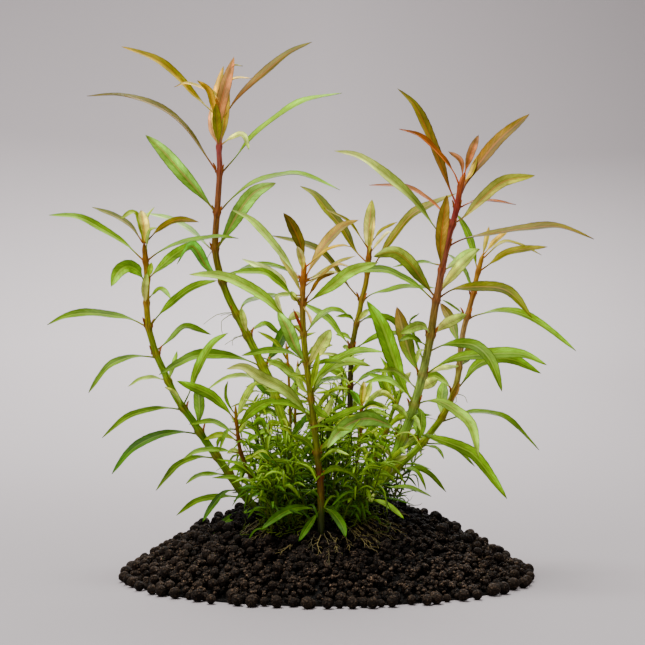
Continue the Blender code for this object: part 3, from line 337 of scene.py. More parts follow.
# The small leaves, which the frame holds as one solid with their stem or shoot
SMALL_LEAVES = {
    "tall_left": [
        ("blush", 3.6, 4, -35.8, 143, -36.3, 152, -34, 163, -31, 173),
        ("green", 1.5, -26, -33, 98.5, -28, 102, -20, 103.5, -10, 101),
        ("green", 1.5, -28, -29, 87, -27, 91, -20, 93, -13, 93.5),
        ("bright", 1.5, -18, -26, 81, -23, 83, -20, 83.7, -15.5, 80.3),
        ("mint", 1.9, 6, -25.8, 80.5, -27.6, 84.5, -28.7, 89.5),
        ("dark", 3.5, -24, -19.5, 70, -17.5, 75, -15, 80, -12, 86),
        ("pale", 1, -16, -18, 61, -25, 66, -33, 66, -40, 62),
        ("green", 0.8, 8, -15.5, 56, -20, 57, -28, 57),
    ],
    "far_left": [
        ("cream", 3.5, 6, -61, 111, -61, 116, -62, 122),
        ("moss", 1.3, -14, -61.5, 111.5, -65, 116, -70, 119.5, -78.3, 123),
        ("olive brown", 1.8, 12, -60, 111.5, -56, 115.5, -50, 118.5, -42.7, 118),
        ("bright", 3, -22, -59.5, 99, -56, 102.5, -51, 107, -44, 111.5),
        ("green", 1.7, -18, -55.5, 75, -52, 79, -47, 83, -38.7, 80.5),
        ("pale", 0.9, -16, -53.5, 65.5, -58, 66, -62, 65.5, -66.3, 63.2),
        ("green", 1.6, -12, -48.5, 55.5, -53, 56, -60, 55, -67, 52.5, -75, 46),
        ("green", 3.3, -14, -42, 49.5, -42.5, 55, -43, 64),
        ("green", 1.7, -14, -37.5, 39.5, -43, 39.5, -50, 36.5, -57, 28.5),
        ("green", 0.9, 12, -33, 34, -38, 34, -43, 33.3, -47, 30.7),
        ("green", 1.5, -6, -27.5, 26.5, -34, 26.5, -43, 25, -50.2, 20.2),
    ],
    "centre_front": [
        ("olive brown", 3, 14, -7.5, 104, -9, 111, -12, 117.5, -14.5, 121),
        ("gold", 0.7, 8, -6, 103, 0, 108.5, 5, 110, 8, 109.7),
        ("olive", 0.9, -10, -5.5, 98.5, 0, 102, 4, 104.5, 9.5, 106.7),
        ("bright", 1.8, 18, -9, 90, -12, 94, -17, 98.5, -22, 101.3, -32.5, 101),
        ("mint", 2, -18, -10, 92, -13.5, 95, -17, 100, -28.3, 105.7),
        ("bright", 1.6, -18, -6.8, 80.5, -3.4, 85.3, 0.4, 88.3, 4, 88.5, 7.3, 87),
        ("green", 1.7, -14, -7.7, 72, -13, 74.5, -20, 75, -28.5, 73.5),
        ("spring", 3.7, 20, -8, 70.5, -10.8, 77, -13.3, 83, -16.5, 88),
        ("mint", 3.8, 12, -4, 70, -2.5, 76, 1.3, 82.2),
        ("pale", 2.6, -12, -4.6, 59, -3.6, 64, -1.2, 67.8, 2.7, 70.5, 8, 71.6, 14.5, 70),
        ("dark", 2, 9, -3.5, 22, -9, 22.8, -15, 20.8, -22, 15.5),
    ],
    "centre_back": [
        ("wheat", 3.6, -8, 14, 106.6, 14, 116, 15, 125.5),
        ("olive", 0.8, 10, 12.8, 109, 10, 114.5, 6.5, 118.5, -1, 122.5),
        ("green", 1.4, 10, 12, 91.5, 15, 94, 20, 95, 26, 96.3, 36, 96),
        ("moss", 1.8, -10, 10, 92, 6, 98, 0, 106, -6, 110, -18.7, 113.5),
        ("green", 2, -16, 10.7, 84, 13, 85.9, 18, 86.4, 22, 85, 25, 81),
        ("bright", 2, -14, 7.2, 76.5, 4, 81, 0, 86, -8, 91),
        ("green", 1.6, 6, 9.5, 75.5, 12, 77.4, 17, 80, 23, 80.9, 27, 80.3),
        ("green", 1.2, -12, 9, 63, 12, 66, 16, 68, 22, 68.5),
        ("green", 1, -14, 6.5, 55.5, 3, 59.5, 0, 61, -4, 61),
    ],
    "tall_right": [
        ("sunset", 2.2, 12, 46.5, 134, 48, 141, 50.5, 147),
        ("rust", 1.5, 12, 44, 130, 42, 135, 37, 141, 31, 146.5, 24, 149),
        ("rust", 1.2, -14, 40.5, 118, 38.5, 121.5, 33, 126, 26, 129.5, 14, 130.3),
        ("dune", 3.5, 22, 38.7, 102, 38, 112, 40, 127),
        ("pale", 2.5, -22, 39, 101.5, 43, 104.5, 47, 107.5, 51, 109),
        ("green", 2, -8, 35, 91.5, 31, 96, 25, 99.5, 18, 102, 6, 101),
        ("mint", 3, -18, 36, 79.5, 38, 83, 42, 85.3, 46.5, 87.2),
        ("autumn", 4.4, -18, 30, 66.5, 28, 73, 25.8, 80, 23.3, 89.7),
    ],
    "far_right": [
        ("straw", 1.2, -8, 52, 107, 53, 111, 54, 116.5),
        ("olive", 2, 14, 51, 101.5, 55, 104.5, 61, 108, 73.5, 109.7),
        ("green", 2.2, -10, 50.5, 102, 48.5, 109, 46.5, 115, 43.5, 120.5),
        ("green", 1.5, -20, 48, 95, 46, 101, 43, 105, 40, 107.5),
        ("autumn", 3, -20, 43.8, 76.4, 42.8, 80.5, 41, 86, 37.8, 91),
        ("autumn", 3.1, -22, 44.5, 69.3, 46.3, 73, 48.7, 77.2),
        ("meadow", 2.4, -16, 41.8, 61.5, 39, 65, 35.5, 67, 32.5, 65.5, 31, 62),
        ("bright", 3.5, -18, 38, 53, 38.2, 59, 39, 65),
        ("green", 1.2, -8, 39.8, 51.5, 43, 53, 48, 54.5, 55, 54, 61, 51.5, 70.7, 42),
        ("green", 0.9, -12, 33, 44.5, 37, 44, 42, 43, 49.3, 36.5),
        ("green", 1.3, -6, 24, 36, 29, 36, 34, 34, 39.7, 28),
    ],
    "small_left": [
        ("bright", 2.8, 14, -31, 52, -35, 57, -40, 61, -50, 65),
        ("lime", 2, -12, -30, 52, -28, 58, -25.5, 62.5, -23, 65),
        ("bright", 2.8, 10, -29, 49, -26, 54, -22, 57, -17, 59),
        ("green", 1.2, -8, -30, 46.5, -35, 50, -39, 51.5, -46, 50.5),
        ("dark", 2.2, 10, -28.5, 46, -24, 43, -18, 39, -14, 36),
        ("green", 1.2, 8, -29.5, 41, -36, 42, -43, 41.5, -48.3, 38.7),
    ],
    "inner_left": [
        ("bright", 2, 6, -20, 48, -22, 52, -25, 50),
        ("lime", 2, -6, -20, 47, -18.5, 51, -16, 50),
    ],
    "inner_right": [
        ("green", 2.2, -8, 21.5, 57, 19.5, 62, 16.8, 67.5),
        ("bright", 1.5, -6, 24.5, 60, 21, 64, 18, 66, 13, 67.5),
        ("cream", 1.6, 8, 24.8, 61, 24, 65, 22, 68),
        ("mint", 1.7, 8, 23.5, 58, 19, 61, 15, 59.5),
        ("bright", 1.4, -4, 23.2, 57.5, 20.5, 68, 17.8, 73),
        ("lime", 1.6, 4, 22.5, 57, 19, 66, 20, 71),
        ("fresh", 2, -10, 24.5, 60, 25.5, 65, 28, 68),
        ("lime", 2, -8, 20.5, 50, 24, 53, 28, 53.5),
        ("green", 2, -10, 18.5, 45, 14, 47, 10, 45),
    ],
    "inner_middle": [
        ("mint", 1.8, 6, 11.5, 56.5, 13.5, 61, 14.8, 65),
        ("cream", 1.8, 8, 11.5, 56.5, 11.8, 60.5, 12.3, 65),
        ("fresh", 1.5, -5, 11.5, 56, 15.5, 59.8, 18.5, 62.5),
        ("green", 1, 8, 11.3, 55, 14, 55, 17, 53.2),
        ("pale pink", 1.5, 5, 11.5, 56.5, 9.5, 60, 7.5, 62),
        ("mint", 1.5, -4, 12.2, 56, 16, 57.3, 21, 55.5),
        ("dark", 1.5, -6, 11, 55.5, 7, 55, 4, 52),
        ("bright", 2, 4, 11, 48, 14, 51, 17, 50),
    ],
}

# Leaflets and curls that are too fine for the frame, in the same form
FINE_LEAVES = {
    "tall_left": [
        ("olive", 2.6, 8, -36, 143, -36.6, 150, -37, 157.5),
        ("tan", 2.4, -3, -35.8, 143, -34.4, 150, -33.6, 157, -32.8, 163),
        ("tan", 2.6, -4, -36.2, 143.5, -37.5, 152, -36.8, 160, -34.5, 170),
        ("tan", 0.8, 8, -35.5, 152, -37, 160, -46, 164, -51, 163),
        ("gold", 1.9, 9, -36, 150, -38, 157, -39.5, 162, -43.3, 165.2),
        ("olive", 0.7, 5, -35, 156, -32, 169, -28, 170),
        ("tan", 0.7, -8, -35, 156, -32, 165, -25, 166),
        ("mint", 1.6, 6, -34, 143.5, -32, 146, -28, 147, -26, 142),
        ("blush", 1.8, -12, -36.6, 143.5, -38.6, 149, -38.4, 157),
        ("green", 2, 10, -19, 73, -17, 71, -12, 67, -9, 63),
        ("dark", 3.2, -14, -17, 58.5, -19.7, 61.5, -22.5, 65, -24.5, 68.5),
        ("green", 1.8, -8, -14.5, 51.5, -17, 54, -20.5, 55.4, -25, 54.8),
        ("green", 1.8, -12, -16, 55, -12, 60, -10, 66),
        ("dark", 1.6, -8, -13, 46, -9, 50, -7, 54),
    ],
    "far_left": [
        ("lime", 1, 8, -61, 111, -64, 121, -69, 119),
        ("lime", 0.9, -6, -61, 111, -60, 119, -57.5, 123),
        ("pale", 0.9, 5, -60.6, 108, -59, 115, -56.5, 116),
        ("lime", 1.5, 8, -59.5, 99, -59, 102, -58.5, 104.5),
        ("bright", 1.2, 12, -59.7, 92, -57.5, 94.5, -55, 95.5, -52, 92.3),
        ("mint", 2, 5, -60, 90, -60.8, 95, -60, 101),
        ("green", 1, 8, -36.5, 40.5, -36, 45, -32, 49.5),
        ("dark", 1.6, 12, -30.5, 29, -34, 28, -38, 23.5, -41.5, 18),
        ("dark", 1.8, 14, -24.3, 23.5, -28, 21, -33, 18.7, -38, 14),
        ("bright", 1.6, -18, -53, 65, -51, 70, -50, 75),
        ("fresh", 1.4, 14, -48, 56, -51, 61, -54, 63),
        ("green", 1.6, -10, -30, 30, -28, 35, -29, 40),
    ],
    "centre_front": [
        ("cream", 2, 6, -7.8, 101, -8.5, 106, -10, 110),
        ("dune", 0.6, 12, -6.5, 98, -2, 100, 3, 103.5, 8, 103),
        ("wheat", 1, -12, -7, 96.5, -3, 99.5, 1, 101, 4, 101.2),
        ("khaki", 0.9, 6, -7.5, 91.5, -5, 95, -2, 99, 3, 101),
        ("olive", 1.5, -14, -8.5, 94, -12, 101, -16, 107),
        ("mint", 1.6, 5, -8.3, 93, -10.5, 92.5, -12, 95),
        ("green", 1.1, 10, -5.8, 68.7, -3, 70.7, 0, 71.5, 6, 71),
        ("bright", 1.8, 6, -4.9, 60.5, -3.3, 65.5, 0, 69.5, 5, 73, 11, 75, 19, 74.6),
        ("meadow", 1.8, -10, -8.4, 67, -12, 67.5, -15, 70, -20, 71.5),
        ("meadow", 1.3, -14, -5.6, 61, -5.2, 65, -5, 69),
        ("lime", 1.6, 14, -4.6, 61, -3.8, 68, -2.7, 74.5),
        ("green", 1, -16, -4.8, 60, -1.8, 64.3, 2, 65.7, 6.8, 65.8),
        ("lime", 1.4, -12, -4.5, 54, -0.5, 59.5, 2.5, 62, 5.8, 63.2),
        ("green", 2, 14, -4.7, 57.5, -2, 54.5, 0.8, 53),
        ("green", 1.7, 12, -4.4, 50, 1.5, 52, 5.5, 54, 13, 56.8),
        ("red", 0.7, 8, -8.5, 81, -9.8, 85, -11.2, 89),
        ("fresh", 1.2, 8, -8.6, 93.5, -13, 93.8, -16.5, 92.8, -14.8, 87.6),
        ("tan", 0.5, 10, -7, 90, -6.3, 87, -5.4, 84),
        ("mint", 2.2, -12, -8, 86, -10.4, 87, -13, 85.3),
        ("mint", 1.4, 8, -6, 72, -3, 76, 2, 77),
        ("lime", 1.8, -12, -5.5, 60, -9, 64, -10, 70),
        ("mint", 1.8, -8, -4.2, 50, 0, 55, 2, 60),
        ("green", 1.6, 4, -3.3, 41, -7, 45, -12, 47),
        ("meadow", 1.6, 6, -3.2, 41, 1, 45, 5, 46),
        ("green", 1.5, 6, -2.6, 33, -7, 37, -11, 37),
        ("green", 1.5, 7, -2.6, 33, 2, 36, 6, 35),
        ("dark", 1.7, 10, -2.5, 22, -6, 17, -9.5, 11.5),
        ("dark", 2.3, 10, -1.5, 23, 2, 21, 5, 17, 6.3, 12.8),
    ],
    "centre_back": [
        ("olive", 0.8, 5, 14.3, 111, 18, 115, 21, 116.7, 23.5, 118),
        ("cream", 0.8, -5, 14, 108, 18, 112, 20.5, 114.5, 22.5, 114),
        ("cream", 1.6, 4, 14.4, 106.5, 14.7, 113, 15.6, 120),
        ("green", 1, 6, 9.8, 84, 7.5, 86.5, 3, 86.5),
        ("mint", 1.5, 10, 10.5, 84.5, 12, 87, 14, 89),
        ("bright", 2.5, -10, 7.7, 63, 5.5, 67, 3, 70.5, 0.5, 74.5),
        ("lime", 1.3, 12, 7.6, 61, 5.6, 63.5, 5, 67.5),
        ("green", 1.3, 10, 7.6, 55, 4.5, 57.5, 1.5, 60.6),
        ("green", 2.2, 14, 7.7, 62, 9.5, 60, 11.5, 56.5),
        ("meadow", 1.5, -8, 7.4, 50, 11, 53, 16, 55, 20.5, 54),
        ("lime", 1.7, -8, 7.3, 47, 4, 50.5, 0, 52),
        ("green", 1.2, 8, 7.5, 70, 5, 72.5, 2, 73.4),
        ("fresh", 1.4, 8, 7.6, 55, 11, 59, 13, 61),
    ],
    "tall_right": [
        ("sunset", 1.2, 6, 45.5, 133, 44.5, 138.5, 40.5, 141.5),
        ("gold", 1.2, -8, 45, 131, 48, 134, 50, 140),
        ("rust", 0.7, -14, 43.5, 122.5, 48, 124.5, 54, 125, 63, 123.8),
        ("green", 0.8, -14, 38.5, 103.5, 33, 104.5, 28, 104, 22, 103),
        ("mint", 3, -12, 37, 93.5, 40, 98, 45, 104, 50.5, 109),
        ("pale", 2.8, 14, 34.3, 80.5, 33, 82.8, 30.5, 83.4, 27.5, 82.3, 24.3, 80.8),
        ("green", 1.3, 12, 33.5, 76.5, 29.5, 79, 27, 79.5, 24, 78),
        ("green", 0.7, -14, 28.5, 71, 27.5, 84, 30.7, 87.6),
        ("lime", 1, 8, 33.5, 75.5, 30.8, 74.8, 30, 71),
        ("green", 2.6, 8, 28.8, 57, 31.3, 54.5, 31.5, 50, 30.5, 45.5),
        ("mint", 3, -14, 30.5, 61.5, 33.5, 64, 37, 65.7),
        ("mint", 1.3, -14, 33.5, 67, 36.5, 68.6, 40, 69.4, 44, 70),
        ("bright", 1.5, -12, 29, 58.5, 24, 63, 19, 65.6, 12, 64.3),
        ("pale", 1.4, 10, 30.5, 62, 26, 66, 22, 68.5, 17, 68),
        ("pale", 1.8, 12, 26.5, 52, 24.5, 55.5, 21.5, 57),
        ("pale", 2.2, -12, 24.5, 43, 27, 45, 30, 47),
        ("mint", 2.8, 9, 15, 29, 14, 28, 15, 24.5),
        ("bright", 1.3, 9, 13, 25.5, 17, 25, 21, 23, 25.7, 19),
        ("mint", 1.5, 8, 22, 39, 19, 43, 16, 44),
        ("fresh", 1.5, 8, 20, 36, 24, 39, 27, 40),
    ],
    "far_right": [
        ("tan", 1.3, 10, 51.8, 107, 56, 111.5, 61, 115.5),
        ("olive", 0.7, -12, 51.5, 106, 58, 110.8, 63, 110.8, 71.5, 107),
        ("green", 0.6, 10, 46.5, 86.5, 43, 89, 38.5, 92),
        ("green", 2.5, -14, 31, 44.5, 30, 50, 29.7, 57),
        ("green", 0.7, 8, 33, 44, 36.5, 42.5, 39, 39),
        ("green", 0.9, 6, 24, 36.5, 29.5, 35, 32, 31, 33, 28.5),
        ("green", 0.9, 8, 18, 30.5, 22, 29.5, 27, 29.5, 34.8, 26.5),
        ("dune", 1.6, 14, 40.5, 57, 43, 61, 44, 65),
    ],
    "small_left": [
        ("green", 0.8, 6, -30.4, 54, -33.5, 58, -34, 62, -33, 65),
        ("lime", 1.5, -8, -28.8, 47, -28, 50, -27, 52),
        ("green", 1, 10, -29.7, 49, -33, 48.5, -35.7, 42),
        ("bright", 1.3, 8, -26, 34, -30, 36, -33, 35),
        ("cream", 1.3, 8, -25, 32, -21, 34, -18, 32),
    ],
}

# Small leaves all round a stem: from which height to which, and how many
SIDE_LEAVES = {
    "centre_front": (38, 78, 9), "centre_back": (40, 78, 11), "tall_left": (38, 62, 6),
    "tall_right": (34, 52, 5), "inner_right": (33, 58, 8), "inner_middle": (34, 56, 7),
    "thin_left": (42, 76, 9), "thin_middle": (38, 70, 9), "inner_left": (30, 47, 5),
    "small_left": (28, 44, 4),
}
SIDE_TONES = ("bright", "lime", "meadow", "green", "meadow", "fresh")

# Pale roots that lie on the soil at the foot, each as right, near, right, near and so on
ROOTS = [
    (-21, 22, -26, 27, -29, 33), (-9, 38, -12, 43, -16, 46), (-1, 38, 0.5, 44, 0.3, 49, 0.8, 54),
    (0, 37, 2, 41, 3.3, 47), (5, 36, 6, 41, 6.8, 46), (6, 33, 8, 37, 9.8, 40),
    (8, 33, 11, 37, 14, 43), (9, 32, 13, 37, 17.5, 41), (11, 30, 15, 34, 16.5, 38),
    (12, 28, 15.5, 31, 17.5, 35), (13, 25, 18, 28, 20.5, 32), (-14, 28, -17, 32, -21, 36),
    (3, 40, 2.5, 44, 4, 49), (-4, 38, -5, 43, -3.5, 46), (14, 12, 22, 13, 27, 17),
    (-12, -24, -17, -30, -20, -37), (4, -30, 6, -37, 5, -43), (-3, -31, -5, -38, -2, -44),
    (20, -20, 27, -24, 31, -30), (-24, -8, -31, -10, -36, -15), (10, 29, 14, 33, 18.5, 35, 22, 36),
    (12, 26, 17, 29, 22, 30, 25, 33), (9, 31, 12, 36, 15, 39, 16, 43), (14, 24, 19, 26, 24, 27),
    (7, 34, 10, 38, 12, 42, 15.5, 45), (-20, 24, -23, 28, -27, 30), (-18, 27, -20, 32, -24, 36),
    (-2, 39, -3, 44, -1, 50),
]
ROOT_RADIUS = 0.14
ROOT_PALE = np.array([0.24, 0.19, 0.04])

# Thin aerial threads: the stem, then the line as right, up and so on
THREADS = [
    ("tall_left", -33, 88, -37, 87, -41, 84), ("tall_left", -28, 81, -31, 79, -34, 77),
    ("tall_left", -31, 88, -35, 85, -35, 81), ("tall_left", -37, 109, -39.5, 107, -40, 103.5),
    ("far_right", 43, 61, 45.7, 59.9, 46.8, 58), ("far_right", 43, 61.5, 43.2, 58.8, 42.3, 57),
    ("tall_left", -29, 86, -32, 87.3, -35.5, 86.8), ("tall_left", -28, 80, -31, 79.4, -31.5, 76.8),
    ("centre_front", -6, 69, -2, 72, 2, 72.5), ("tall_right", 32, 54, 35, 52.5, 37.5, 51.5),
]
THREAD_RADIUS = 0.18
THREAD_GREEN = (0.3, 0.4, 0.08)

# The heights of the red buds in each stem's leaf joints
BUDS = {
    "tall_left": (134.5, 121, 109, 98, 87, 80, 70),
    "far_left": (83, 74, 56, 48),
    "centre_front": (98, 90.5, 41, 33),
    "centre_back": (92, 76, 101.5),
    "tall_right": (123, 117, 110, 80, 67, 57, 46),
    "far_right": (94, 86.5, 61.5, 44.5),
}

# How many granules of each kind there are, and their radius from and to
RIM_GRANULES, RIM_SIZE, BETWEEN_SIZE = 60, (1.55, 2.1), (1.0, 1.6)
LARGE_GRANULES, LARGE_SIZE = 1250, (0.85, 1.8)
PROUD_GRANULES, PROUD_SIZE = 240, (1.3, 1.9)
CRUMBS, CRUMB_SIZE = 2800, (0.4, 1.0)
CLUSTERS, CLUSTER_GRAINS, GRAIN_SIZE = 165, 17, (0.45, 0.85)
FOLIAGE_SHADE_TO = 24.0                    # the soil is painted dark up to here as the plant's shade on it, and regains its colour this much further
FOLIAGE_SHADE_FADE = 30.0
LOWEST = 0.02
CORE_RADIUS = HEAP_RADIUS - 3.5
GOLDEN_TURN = math.pi * (3 - math.sqrt(5))
SOIL = np.array([0.0185, 0.0127, 0.0084])
# the core's near-black is painted shade that shows deep in the gaps between the granules
CORE_HOLLOW_SHADE = (0.004, 0.0035, 0.003)


def placed(right, up, near):
    """Points in space that are seen at (right, up) from the front and lie `near` in front of the
    heap's axis, on the same line of sight."""
    right, up, near = np.broadcast_arrays(np.float64(right), np.float64(up), np.float64(near))
    scale = 1 - near / EYE_DISTANCE
    return np.stack([EYE_RIGHT + (right - EYE_RIGHT) * scale, -near,
                     EYE_UP + (up - EYE_UP) * scale], axis=-1)


def heap_top(x, y):
    """The height of the heap's surface: the full height, less its share of the way to the rim
    raised to the power of the fall."""
    share = np.minimum(1.0, np.hypot(x, y) / HEAP_RADIUS)
    return HEAP_HEIGHT * (1 - share ** HEAP_FALL)


def pairs(values):
    """A flat row of numbers, two by two."""
    return np.reshape(values, (-1, 2)).astype(float)


def unit(vectors):
    """Each vector divided by its length."""
    return vectors / np.linalg.norm(vectors, axis=-1, keepdims=True)


def full_turn(count):
    """Angles evenly spaced over one turn."""
    return np.linspace(0, 2 * np.pi, count, endpoint=False)


def polar(distance, turn):
    """The (x, y) at a distance from the heap's axis, in a direction."""
    return np.stack([distance * np.cos(turn), distance * np.sin(turn)], axis=-1)


def revolved(profile, count):
    """A profile of (distance, height) turned once round the heap's axis."""
    return np.dstack([polar(profile[:, :1], full_turn(count)),
                      np.repeat(profile[:, 1:], count, axis=1)])


def smooth_line(points, count):
    """`count` points evenly spaced along the Catmull-Rom curve through the points."""
    points = np.asarray(points, float)
    padded = np.vstack([2 * points[0] - points[1], points, 2 * points[-1] - points[-2]])
    t = np.linspace(0, 1, 12, endpoint=False)[None, :, None]
    a, b, c, d = (padded[i:len(padded) - 3 + i, None, :] for i in range(4))
    fine = 0.5 * (2 * b + (c - a) * t + (2 * a - 5 * b + 4 * c - d) * t ** 2
                  + (3 * b - a - 3 * c + d) * t ** 3)
    fine = np.vstack([fine.reshape(-1, 3), points[-1:]])
    along = np.append(0, np.cumsum(np.linalg.norm(np.diff(fine, axis=0), axis=1)))
    wanted = np.linspace(0, along[-1], count)
    return np.stack([np.interp(wanted, along, fine[:, k]) for k in range(3)], axis=1)


def line_length(line):
    """The sum of the distances from each point of a line to the next."""
    return np.linalg.norm(np.diff(line, axis=0), axis=1).sum()


def tangents(line):
    """The direction of a line at each of its points, from its neighbours' difference."""
    return unit(np.gradient(line, axis=0))


def bent_line(start, turn, rise, bend, length):
    """A small leaf's line: half its length at its rise, and half at the rise less the bend."""
    out = np.array([math.cos(turn), math.sin(turn), 0])
    line = [start]
    for slope in (rise, rise - bend):
        step = out * math.cos(slope) + UPWARD * math.sin(slope)
        line.append(line[-1] + length * 0.5 * step)
    return np.array(line)


def linked(name, data):
    """A new object that shows this mesh, lamp or camera in the scene."""
    made = bpy.data.objects.new(name, data)
    bpy.context.scene.collection.objects.link(made)
    return made


class Mesh:
    """Points, faces, a place along and across for each point, and two colours for each point."""

    def __init__(self):
        self.points, self.faces, self.places, self.tints, self.ribs = [], [], [], [], []
        self.count = 0

    def add_rings(self, rings, along, across, tint, rib):
        """A closed skin over rings of points, one ring at each station, its ends capped."""
        shape = rings.shape[:2]
        index = self.count + np.arange(shape[0] * shape[1]).reshape(shape)
        following = np.roll(index, -1, axis=1)
        quads = np.stack([index[:-1], following[:-1], following[1:], index[1:]], axis=-1)
        self.faces += quads.reshape(-1, 4).tolist()
        self.faces += [index[0, ::-1].tolist(), index[-1].tolist()]
        self.points.append(rings.reshape(-1, 3))
        self.places.append(np.stack([np.broadcast_to(along, shape),
                                     np.broadcast_to(across, shape)], -1).reshape(-1, 2))
        for colours, colour in ((self.tints, tint), (self.ribs, rib)):
            colours.append(np.broadcast_to(colour, shape + (3,)).reshape(-1, 3))
        self.count += index.size

    def add_tube(self, line, radius, turn, towards, along, across, tint):
        """Rings across a line, of these radii at these turns. Turn 0 is square to the line and to
        the direction `towards`."""
        ahead = tangents(line)
        side = unit(np.cross(ahead, towards))
        front = np.cross(side, ahead)
        rings = line[:, None] + radius * (np.cos(turn) * side[:, None]
                                          + np.sin(turn) * front[:, None])
        self.add_rings(rings[:, ::-1], along, across, tint, tint)

    def piece(self, name, material, slot, *nodes):
        """The mesh as a piece of the plant, in the place of these nodes."""
        mesh = bpy.data.meshes.new(name)
        mesh.from_pydata((np.concatenate(self.points) * MM).tolist(), [], self.faces)
        corners = np.empty(len(mesh.loops), np.int32)
        mesh.loops.foreach_get("vertex_index", corners)
        places = np.concatenate(self.places)[corners]
        mesh.uv_layers.new(name="place").data.foreach_set("uv", places.ravel())
        for label, values in (("tint", self.tints), ("rib", self.ribs)):
            colours = np.concatenate(values)
            colours = np.hstack([colours, np.ones((len(colours), 1))])
            layer = mesh.color_attributes.new(label, "FLOAT_COLOR", "POINT")
            layer.data.foreach_set("color", colours.ravel())
        mesh.shade_smooth()
        mesh.materials.append(material)
        made = linked(name, mesh)
        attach(made, BODY)
        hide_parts(*nodes)


class Stem:
    """A stem's line in space, from its tip down into the soil, and its thickness."""

    def __init__(self, line, near, radius, joints, colours):
        self.rights, self.ups = pairs(line).T
        self.near, self.radius, self.joints = near, radius, joints
        self.stops, *self.colours = np.transpose(colours)
        foot = self.at(self.ups[-1])
        run = unit(foot - self.at(self.ups[-2])) - UPWARD
        self.root = foot + unit(run) * PLANT_DEPTH

    def share(self, up):
        """How far down the stem a height lies: 0 at the tip and 1 at the foot."""
        return np.clip((self.ups[0] - up) / (self.ups[0] - self.ups[-1]), 0, 1)

    def near_at(self, up):
        """How near the stem lies: its tip and its foot mixed by the share."""
        return self.near[0] + (self.near[1] - self.near[0]) * self.share(up)

    def at(self, up):
        """The point of the stem's middle line that is seen at this height."""
        up = np.clip(up, self.ups[-1], self.ups[0])
        return placed(np.interp(-up, -self.ups, self.rights), up, self.near_at(up))

    def swell(self, up, width):
        """How far the stem is swollen at its joints: a narrow bell curve at each."""
        return sum(np.exp(-((up - joint) / width) ** 2) for joint in self.joints)

    def radius_at(self, up):
        """Thicker towards the foot, and swollen at each joint."""
        plain = self.radius[0] + (self.radius[1] - self.radius[0]) * self.share(up)
        return plain * (0.95 + JOINT_SWELL * self.swell(up, JOINT_WIDTH))

    def colour_at(self, up):
        """The listed colours mixed evenly between their shares."""
        share = self.share(up)
        return np.stack([np.interp(share, self.stops, part) for part in self.colours], axis=-1)


def stem_surface(mesh, stem, step=0.7, around=14):
    """A stem: rings across its line, of the radius that its height gives, with shallow ridges
    along it. Its last stations run down into the soil."""
    heights = np.arange(stem.ups[0], stem.ups[-1], -step)
    line = smooth_line(np.vstack([stem.at(stem.ups), stem.root]), len(heights) + 12)
    ups = EYE_UP + (line[:, 2] - EYE_UP) / (1 + line[:, 1] / EYE_DISTANCE)
    tip = np.minimum(1.0, np.arange(len(line)) / 3.0)
    radius = stem.radius_at(ups) * np.sqrt(0.05 + 0.95 * tip)
    turn = full_turn(around)
    ridge = 1 + RIDGE_DEPTH * np.cos(turn * RIDGES)
    shares = stem.share(ups)[:, None]
    blush = np.clip(stem.swell(ups, BLUSH_WIDTH), 0, 1)[:, None] * BLUSH_SHARE * (1 - shares * 0.4)
    tint = stem.colour_at(ups) * (1 - blush) + JOINT_RED * blush
    mesh.add_tube(line, radius[:, None, None] * ridge[None, :, None], turn[None, :, None],
                  (0, 1.0, 0), shares, turn[None, ::-1] / (2 * np.pi), tint[:, None])


def leaf_line(stem, points, reach):
    """A leaf's middle line: from the stem through the listed points, coming nearer evenly."""
    start_up = points[0, 1]
    steps = np.append(0, np.cumsum(np.linalg.norm(np.diff(points, axis=0), axis=1)))
    near = stem.near_at(start_up) + reach * steps[1:] / steps[-1]
    rest = placed(*points[1:].T, near)
    middle = stem.at(start_up)
    run = unit(stem.at(start_up + 2) - stem.at(start_up - 2))
    away = rest[0] - middle
    away = unit(away - run * away.dot(run))
    return np.vstack([middle + away * 0.5 * stem.radius[0], rest])


def leaf_roll(ahead, level, upper, width, seen):
    """The angle that a leaf turns about its own line at each station so that it shows the width
    that is seen, with the upper side in front unless the width is below zero."""
    across = unit(np.cross((0, 1.0, 0), ahead))
    zero = np.unwrap(np.arctan2((upper * across).sum(1), (level * across).sum(1)))
    middle = len(ahead) // 2
    lift = math.acos(min(1.0, abs(seen) / width))
    choices = []
    for start, rise in ((0, lift), (0, -lift), (math.pi, lift), (math.pi, -lift)):
        turn = (zero[middle] + start + rise + math.pi) % (2 * math.pi) - math.pi
        facing = -math.cos(turn) * upper[middle, 1] + math.sin(turn) * level[middle, 1]
        choices.append((abs(turn) > math.pi / 2 + 0.01, facing * seen < 0, abs(turn), turn))
    return min(choices)[-1] + np.clip(zero - zero[middle], -TWIST, TWIST)


